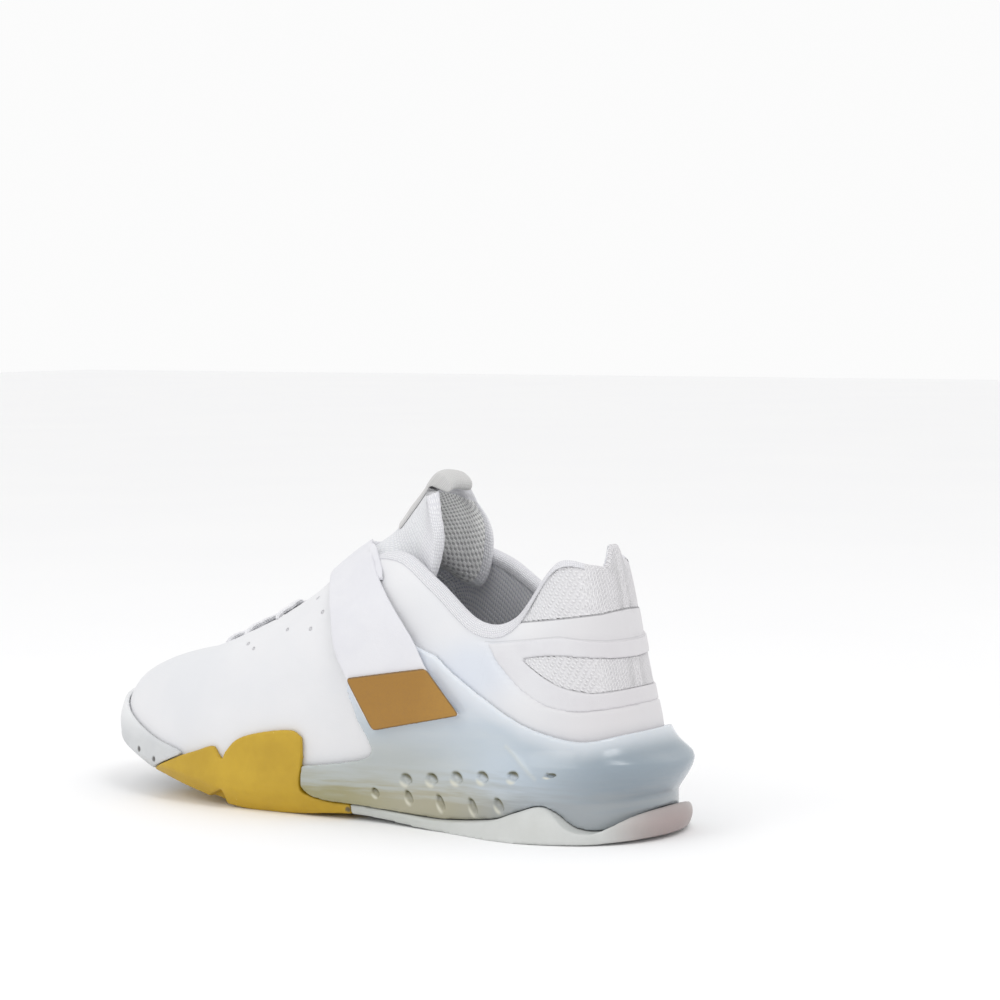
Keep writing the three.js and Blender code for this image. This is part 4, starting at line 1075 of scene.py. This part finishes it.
def tongue_sections():
    """Rows of the tongue's middle, its edge in side view, and half its width"""
    sections = []
    for u in TONGUE_STATIONS:
        edge = edge_point(u)[1]
        side = throat_point(u, (edge + TONGUE_MARGIN) / edge, -2 * GAP)
        sections.append([*throat_point(u, 0, -2 * GAP), side[0], 0, side[2], edge + TONGUE_MARGIN])
    for x, z, side_x, side_z, half in zip(*TONGUE_TOP.values()):
        middle = (x * LENGTH, 0, z * UPPER_HEIGHT)
        sections.append([*middle, side_x * LENGTH, 0, side_z * UPPER_HEIGHT, half * HEEL_WIDTH])
    return np.array(spline(sections, TONGUE_STEPS))


def tongue_edge(outer, inner, out):
    """Lines round one edge of the tongue, from its outer to its inner side"""
    middle, out = (outer + inner) / 2, unit(out) * 0.3 * TONGUE_THICKNESS
    return [middle + (outer - middle) * np.cos(a) + out * np.sin(a) for a in np.pi * np.array([0.25, 0.5, 0.75])]


def build_tongue():
    s = tongue_sections()
    k = np.linspace(-1, 1, TONGUE_COLUMNS)
    points = s[:, None, 0:3] + (s[:, None, 3:6] - s[:, None, 0:3]) * (k * k)[None, :, None]
    points[..., 1] = s[:, None, 6] * k
    across, onward = np.gradient(points, axis=1), np.gradient(points, axis=0)
    normal = unit(np.cross(across, onward))
    # a thick bound edge on both sides and over the top
    distance = (1 - np.abs(k)) * s[:, None, 6]
    clear = smoothstep(np.arange(len(s)), 6 * TONGUE_STEPS, 7 * TONGUE_STEPS)[:, None]
    outer = points + normal * (0.35 * smoothstep(distance, 4.4, 3.6) * clear)[..., None]
    rim = TONGUE_RIM * smoothstep(distance, 5.6, 2.4) * clear
    inner = points - normal * (TONGUE_THICKNESS - 0.3 + rim)[..., None]
    rows, columns = points.shape[:2]
    ring = [outer[:, j] for j in range(columns)] + tongue_edge(outer[:, -1], inner[:, -1], across[:, -1])
    ring += [inner[:, j] for j in reversed(range(columns))] + tongue_edge(outer[:, 0], inner[:, 0], -across[:, 0])[::-1]
    count = len(ring)
    faces = grid_faces(count, rows, closed=True)
    for row, order in ((0, 1), (rows - 1, -1)):
        ends = [i * rows + row for i in range(count)]
        caps = [(ends[j], ends[j + 1], ends[count - 5 - j], ends[count - 4 - j]) for j in range(columns - 1)]
        caps += [tuple(ends[columns - 1:columns + 4]), tuple(ends[count - 4:] + ends[:1])]
        faces += [cap[::order] for cap in caps]
    mesh = new_mesh("tongue", np.stack(ring), faces)
    set_uv(mesh, run_length(np.stack(ring)[:, -14])[:, None], run_length(points[:, columns // 2]))
    # its material follows the side: front, lining, or the binding of the edges that stand clear of the throat
    slots = []
    for column, row in (divmod(f[0], rows) for f in faces):
        near, far = column < TONGUE_BOUND, column >= count - TONGUE_BOUND
        edge = near or far or columns - TONGUE_BOUND <= column < columns + 3 + TONGUE_BOUND
        if columns + 6 <= column and not far and row < rows - TONGUE_BOUND:
            slots.append(1)
        else:
            slots.append(2 if row >= rows - TONGUE_BOUND or edge and row > 6 * TONGUE_STEPS else 0)
    edited(mesh, face_outward)
    o = piece("tongue_pad", mesh, [TONGUE, TONGUE_LINING, BINDING], "tongue")
    mesh.polygons.foreach_set("material_index", slots)


# The pull tab's fold from its underside to its front, in thicknesses back from the tongue and up from its top
PULL_TAB_FOLD = ((2.4, 1.8), (4.9, 3.0), (5.6, 4.6), (4.3, 6.1), (0.9, 6.0), (-1.1, 3.9))


def build_pull_tab():
    """A strip that lies on the tongue's front and folds back over its top"""
    sections = tongue_sections()[::-1]
    middle = sections[:, [0, 2]]
    run = run_length(middle)
    spots = np.linspace(0, PULL_TAB_LENGTH, 14)
    strip = np.stack([np.interp(spots, run, values) for values in middle.T], -1)
    down = unit(np.gradient(strip, axis=0))
    out = np.stack([-down[:, 1], down[:, 0]], -1)
    thin = PULL_TAB_THICKNESS * (1 - 0.45 * smoothstep(spots, 0.5 * PULL_TAB_LENGTH, PULL_TAB_LENGTH))
    under, over = strip + out * 0.1, strip + out * (0.3 + thin)[:, None]
    at = lambda back, up: strip[0] - out[1] * back - down[1] * up
    start = [at(GAP, 4 * GAP)]
    fold = [at(back * PULL_TAB_THICKNESS, up * PULL_TAB_THICKNESS) for back, up in PULL_TAB_FOLD]
    ring = list(under[::-1]) + start + spline(start + fold + [over[0]])[1:-1] + list(over)
    mesh = moulded(prism(ring, -PULL_TAB_WIDTH / 2, PULL_TAB_WIDTH / 2), 0.4, 9)
    points = vertex_points(mesh)
    set_uv(mesh, points[:, 1], points[:, 0] + points[:, 2])
    # it bends across with the tongue
    spot = np.clip((points[:, [0, 2]] - strip[0]) @ unit(strip[-1] - strip[0]), 0, PULL_TAB_LENGTH)
    x, _, z, side_x, _, side_z, half = (np.interp(spot, run, values) for values in sections.T)
    share = (points[:, 1] / half) ** 2
    points[:, 0] += (side_x - x) * share
    points[:, 2] += (side_z - z) * share
    move_vertices(mesh, points)
    piece("pull_loop", mesh, [WEBBING], "tongue_pull")


def strap_form(distance):
    clear = SHELL_WALL + 2 * GAP
    levels = [
        wall_offset(ROUND, v, clear + (GAP - clear) * smoothstep(v, 0.68, 0.92) + distance)
        for v in np.linspace(0.1, 1, 22)
    ]
    return loft(levels + [throat_point(ROUND, k, GAP + distance) for k in (0.85, 0.7, 0.55, 0.4, 0.25, 0.1)])


def strap_prism(outline, low, high, slant=STRAP_SLANT):
    """An outline at the strap's side, run across the shoe and slanted forward towards the middle"""
    return prism(outline, low, high, slant, STRAP_SLANT * STRAP_SIDE)


def rounded(corners, radius, steps=5):
    """A closed outline with round corners"""
    out = []
    for i, p in enumerate(corners):
        before, after = corners[i - 1], corners[(i + 1) % len(corners)]
        a, b = p + unit(before - p) * radius, p + unit(after - p) * radius
        out += [(1 - t) ** 2 * a + 2 * t * (1 - t) * p + t * t * b for t in np.linspace(0, 1, steps)]
    return out


def build_strap():
    front, rear = (
        side_points(STRAP_EDGES, 0, (LENGTH, UPPER_HEIGHT), (name, name + "Z")) for name in ("front", "rear")
    )
    outline = spline(front) + spline(rear[::-1])
    layer = combine(strap_form(STRAP_THICKNESS), strap_form(0), "DIFFERENCE")
    across = combine(strap_prism(outline, 0, BALL_WIDTH), strap_prism(outline, -BALL_WIDTH, 0, 0), "UNION")
    piece("strap_band", moulded(combine(layer, across, "INTERSECT"), 0.6, 6), [STRAP_FILM], "strap")
    corners = [front[0], front[2], rear[2], rear[0]]
    top = strap_form(STRAP_THICKNESS + GAP + PATCH_THICKNESS)
    layer = combine(top, strap_form(STRAP_THICKNESS - 0.4), "DIFFERENCE")
    patch = combine(layer, strap_prism(rounded(corners, PATCH_CORNER), 0, BALL_WIDTH), "INTERSECT")
    patch = moulded(patch, 0.5, 4)
    points = vertex_points(patch)
    flat = points[:, [0, 2]] - np.outer(STRAP_SLANT * (STRAP_SIDE - points[:, 1]), (1, 0))
    rim = np.full(len(points), 99.0)
    for a, b in zip(corners, corners[1:] + corners[:1]):
        side = unit(np.array([-(b - a)[1], (b - a)[0]]))
        rim = np.minimum(rim, np.abs((flat - a) @ side))
    set_attribute(patch, "rim", rim)
    piece("strap_end", patch, [PATCH], "strap_patch")


def ribbon(middle, outward, wide, high, lumpy=1.0):
    """A flat band along a line, with slight lumps where it is woven"""
    run = run_length(middle)
    direction = unit(np.gradient(middle, axis=0))
    side = unit(np.cross(direction, outward))
    up = np.cross(side, direction)
    braid = 1 + 0.1 * lumpy * np.sin(run * 3.6)
    lumps = lumpy * (0.18 * np.sin(run / 1.5) + 0.1 * np.sin(run / 0.8 + 1))[:, None]
    wide = wide * (0.5 + 0.5 * smoothstep(np.minimum(run, run[-1] - run), 0, 6))
    ring = []
    for a in np.linspace(0, 2 * np.pi, RIBBON_SIDES, endpoint=False):
        c, s = math.cos(a), math.sin(a)
        across = wide / 2 * np.sign(c) * abs(c) ** 0.6 * (0.5 + 0.5 * braid)
        over = high / 2 * np.sign(s) * abs(s) ** 0.7 * braid
        ring.append(middle + up * lumps + side * across[:, None] + up * over[:, None])
    count = len(middle)
    faces = grid_faces(count, RIBBON_SIDES, ring=True)
    faces.append(tuple(reversed(range(RIBBON_SIDES))))
    faces.append(tuple(range((count - 1) * RIBBON_SIDES, count * RIBBON_SIDES)))
    mesh = new_mesh("ribbon", np.stack(ring, 1), faces)
    set_uv(mesh, np.linspace(0, 2 * wide.max(), RIBBON_SIDES), run[:, None])
    return edited(mesh, face_outward)


def lace_bar(from_u, to_u, lift):
    """A lace over the throat, whose ends go into the wall beside it"""
    height = LACE_SEAT + lift + LACE_THICKNESS / 2
    over = lambda u: throat_point(from_heel(u), 0.8 if u < 1 else -0.8, height)
    hole = lambda u: wall_offset(u, LACE_HOLE_V, height)
    end = lambda u: wall_offset(u, LACE_END_V, -0.6)
    crossing = throat_point((from_heel(from_u) + from_heel(to_u)) / 2, 0, height)
    route = [end(from_u), hole(from_u), over(from_u), crossing, over(to_u), hole(to_u), end(to_u)]
    middle = np.array(spline(route, 24))
    outward = unit(INSTEP_NORMAL + np.array([0, 1, 0]) * (middle[:, 1:2] / BALL_WIDTH) * 2)
    return ribbon(middle, outward, LACE_WIDTH, LACE_THICKNESS)


def build_laces():
    bars = [(FRONT_LACE, 2 - FRONT_LACE, 0.0)]
    for a, b in zip(LACE_ROWS, LACE_ROWS[1:]):
        bars += [(a, 2 - b, 0.0), (b - LACE_SHIFT, 2 - a - LACE_SHIFT, LACE_LIFT)]
    for i, bar in enumerate(bars):
        piece(f"lace_{i + 1}", lace_bar(*bar), [LACE], "laces")


# The small loop that holds the strap beside the collar
KEEPER = (
    (138.6, 17.4, 111.4), (136.6, 19.2, 112.2), (132.8, 22.8, 109.4), (128.8, 26.4, 106.2), (125.2, 29.8, 103.4),
    (122.6, 32.0, 101.2), (122.4, 31.8, 99.8),
)


def build_keeper():
    middle = np.array(spline(KEEPER, 10))
    outward = np.broadcast_to(unit(np.array([-0.35, 0.75, 0.55])), middle.shape)
    band = ribbon(middle, outward, KEEPER_WIDTH, KEEPER_THICKNESS, lumpy=0.0)
    piece("strap_keeper", band, [STRAP_FILM], slot="strap")


# The photograph's own view: where the camera stands, in shoe millimetres, its angles in degrees, and its
# focal length in pixels of a photograph 1000 pixels wide
CAMERA_SPOT = (-584.0, 944.0, 213.0)
CAMERA_AZIMUTH, CAMERA_ELEVATION, CAMERA_ROLL = 35.3, 4.0, -0.38
FOCAL_PIXELS = 2804
SENSOR_WIDTH = 36


def build_camera():
    azimuth, elevation, roll = (math.radians(a) for a in (CAMERA_AZIMUTH, CAMERA_ELEVATION, CAMERA_ROLL))
    level = math.cos(elevation)
    back = Vector((-math.sin(azimuth) * level, math.cos(azimuth) * level, math.sin(elevation)))
    right = Vector((-math.cos(azimuth), -math.sin(azimuth), 0))
    up = back.cross(right)
    right, up = right * math.cos(roll) + up * math.sin(roll), up * math.cos(roll) - right * math.sin(roll)
    data = bpy.data.cameras.new("camera")
    data.lens = SENSOR_WIDTH * FOCAL_PIXELS / 1000
    data.sensor_width = SENSOR_WIDTH
    camera = add_object("camera", data)
    turn = Matrix((right, up, back)).transposed().to_4x4()
    camera.matrix_world = Matrix.Translation((Vector(CAMERA_SPOT) - Vector((HEEL_SEAT, 0, 0))) / 1000) @ turn
    bpy.context.scene.camera = camera


def area_light(name, spot, target, size, power):
    data = bpy.data.lights.new(name, "AREA")
    data.shape = "DISK"
    data.size = size
    data.energy = power
    lamp = add_object(name, data)
    lamp.location = spot
    lamp.rotation_mode = "QUATERNION"
    lamp.rotation_quaternion = (Vector(target) - Vector(spot)).to_track_quat("-Z", "Y")


def build_studio():
    corners = [(-6, -6, 0), (6, -6, 0), (6, 6, 0), (-6, 6, 0)]
    floor = add_object("floor", new_mesh("floor", corners, [(0, 1, 2, 3)]))
    floor.data.materials.append(floor_material())
    world = bpy.data.worlds.new("studio")
    bpy.context.scene.world = world
    world.use_nodes = True
    background = world.node_tree.nodes["Background"]
    background.inputs["Color"].default_value = (1.0, 1.0, 1.0, 1.0)
    background.inputs["Strength"].default_value = 0.97
    area_light("key", (0.5, 1.1, 1.0), (0.08, 0, 0.05), 0.8, 2.2)
    area_light("top", (-0.55, 0.25, 1.3), (0.08, 0, 0.09), 0.5, 2.4)
    bpy.context.scene.view_settings.view_transform = "Standard"


build_camera()
build_studio()
build_upper()
build_binding(1, "collar_binding_outer")
build_binding(-1, "collar_binding_inner")
build_sole()
build_insole()
build_counter()
build_tongue()
build_pull_tab()
build_strap()
build_laces()
build_keeper()

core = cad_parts["midsole_core"]
core.data.materials.clear()
core.data.materials.append(FOAM)
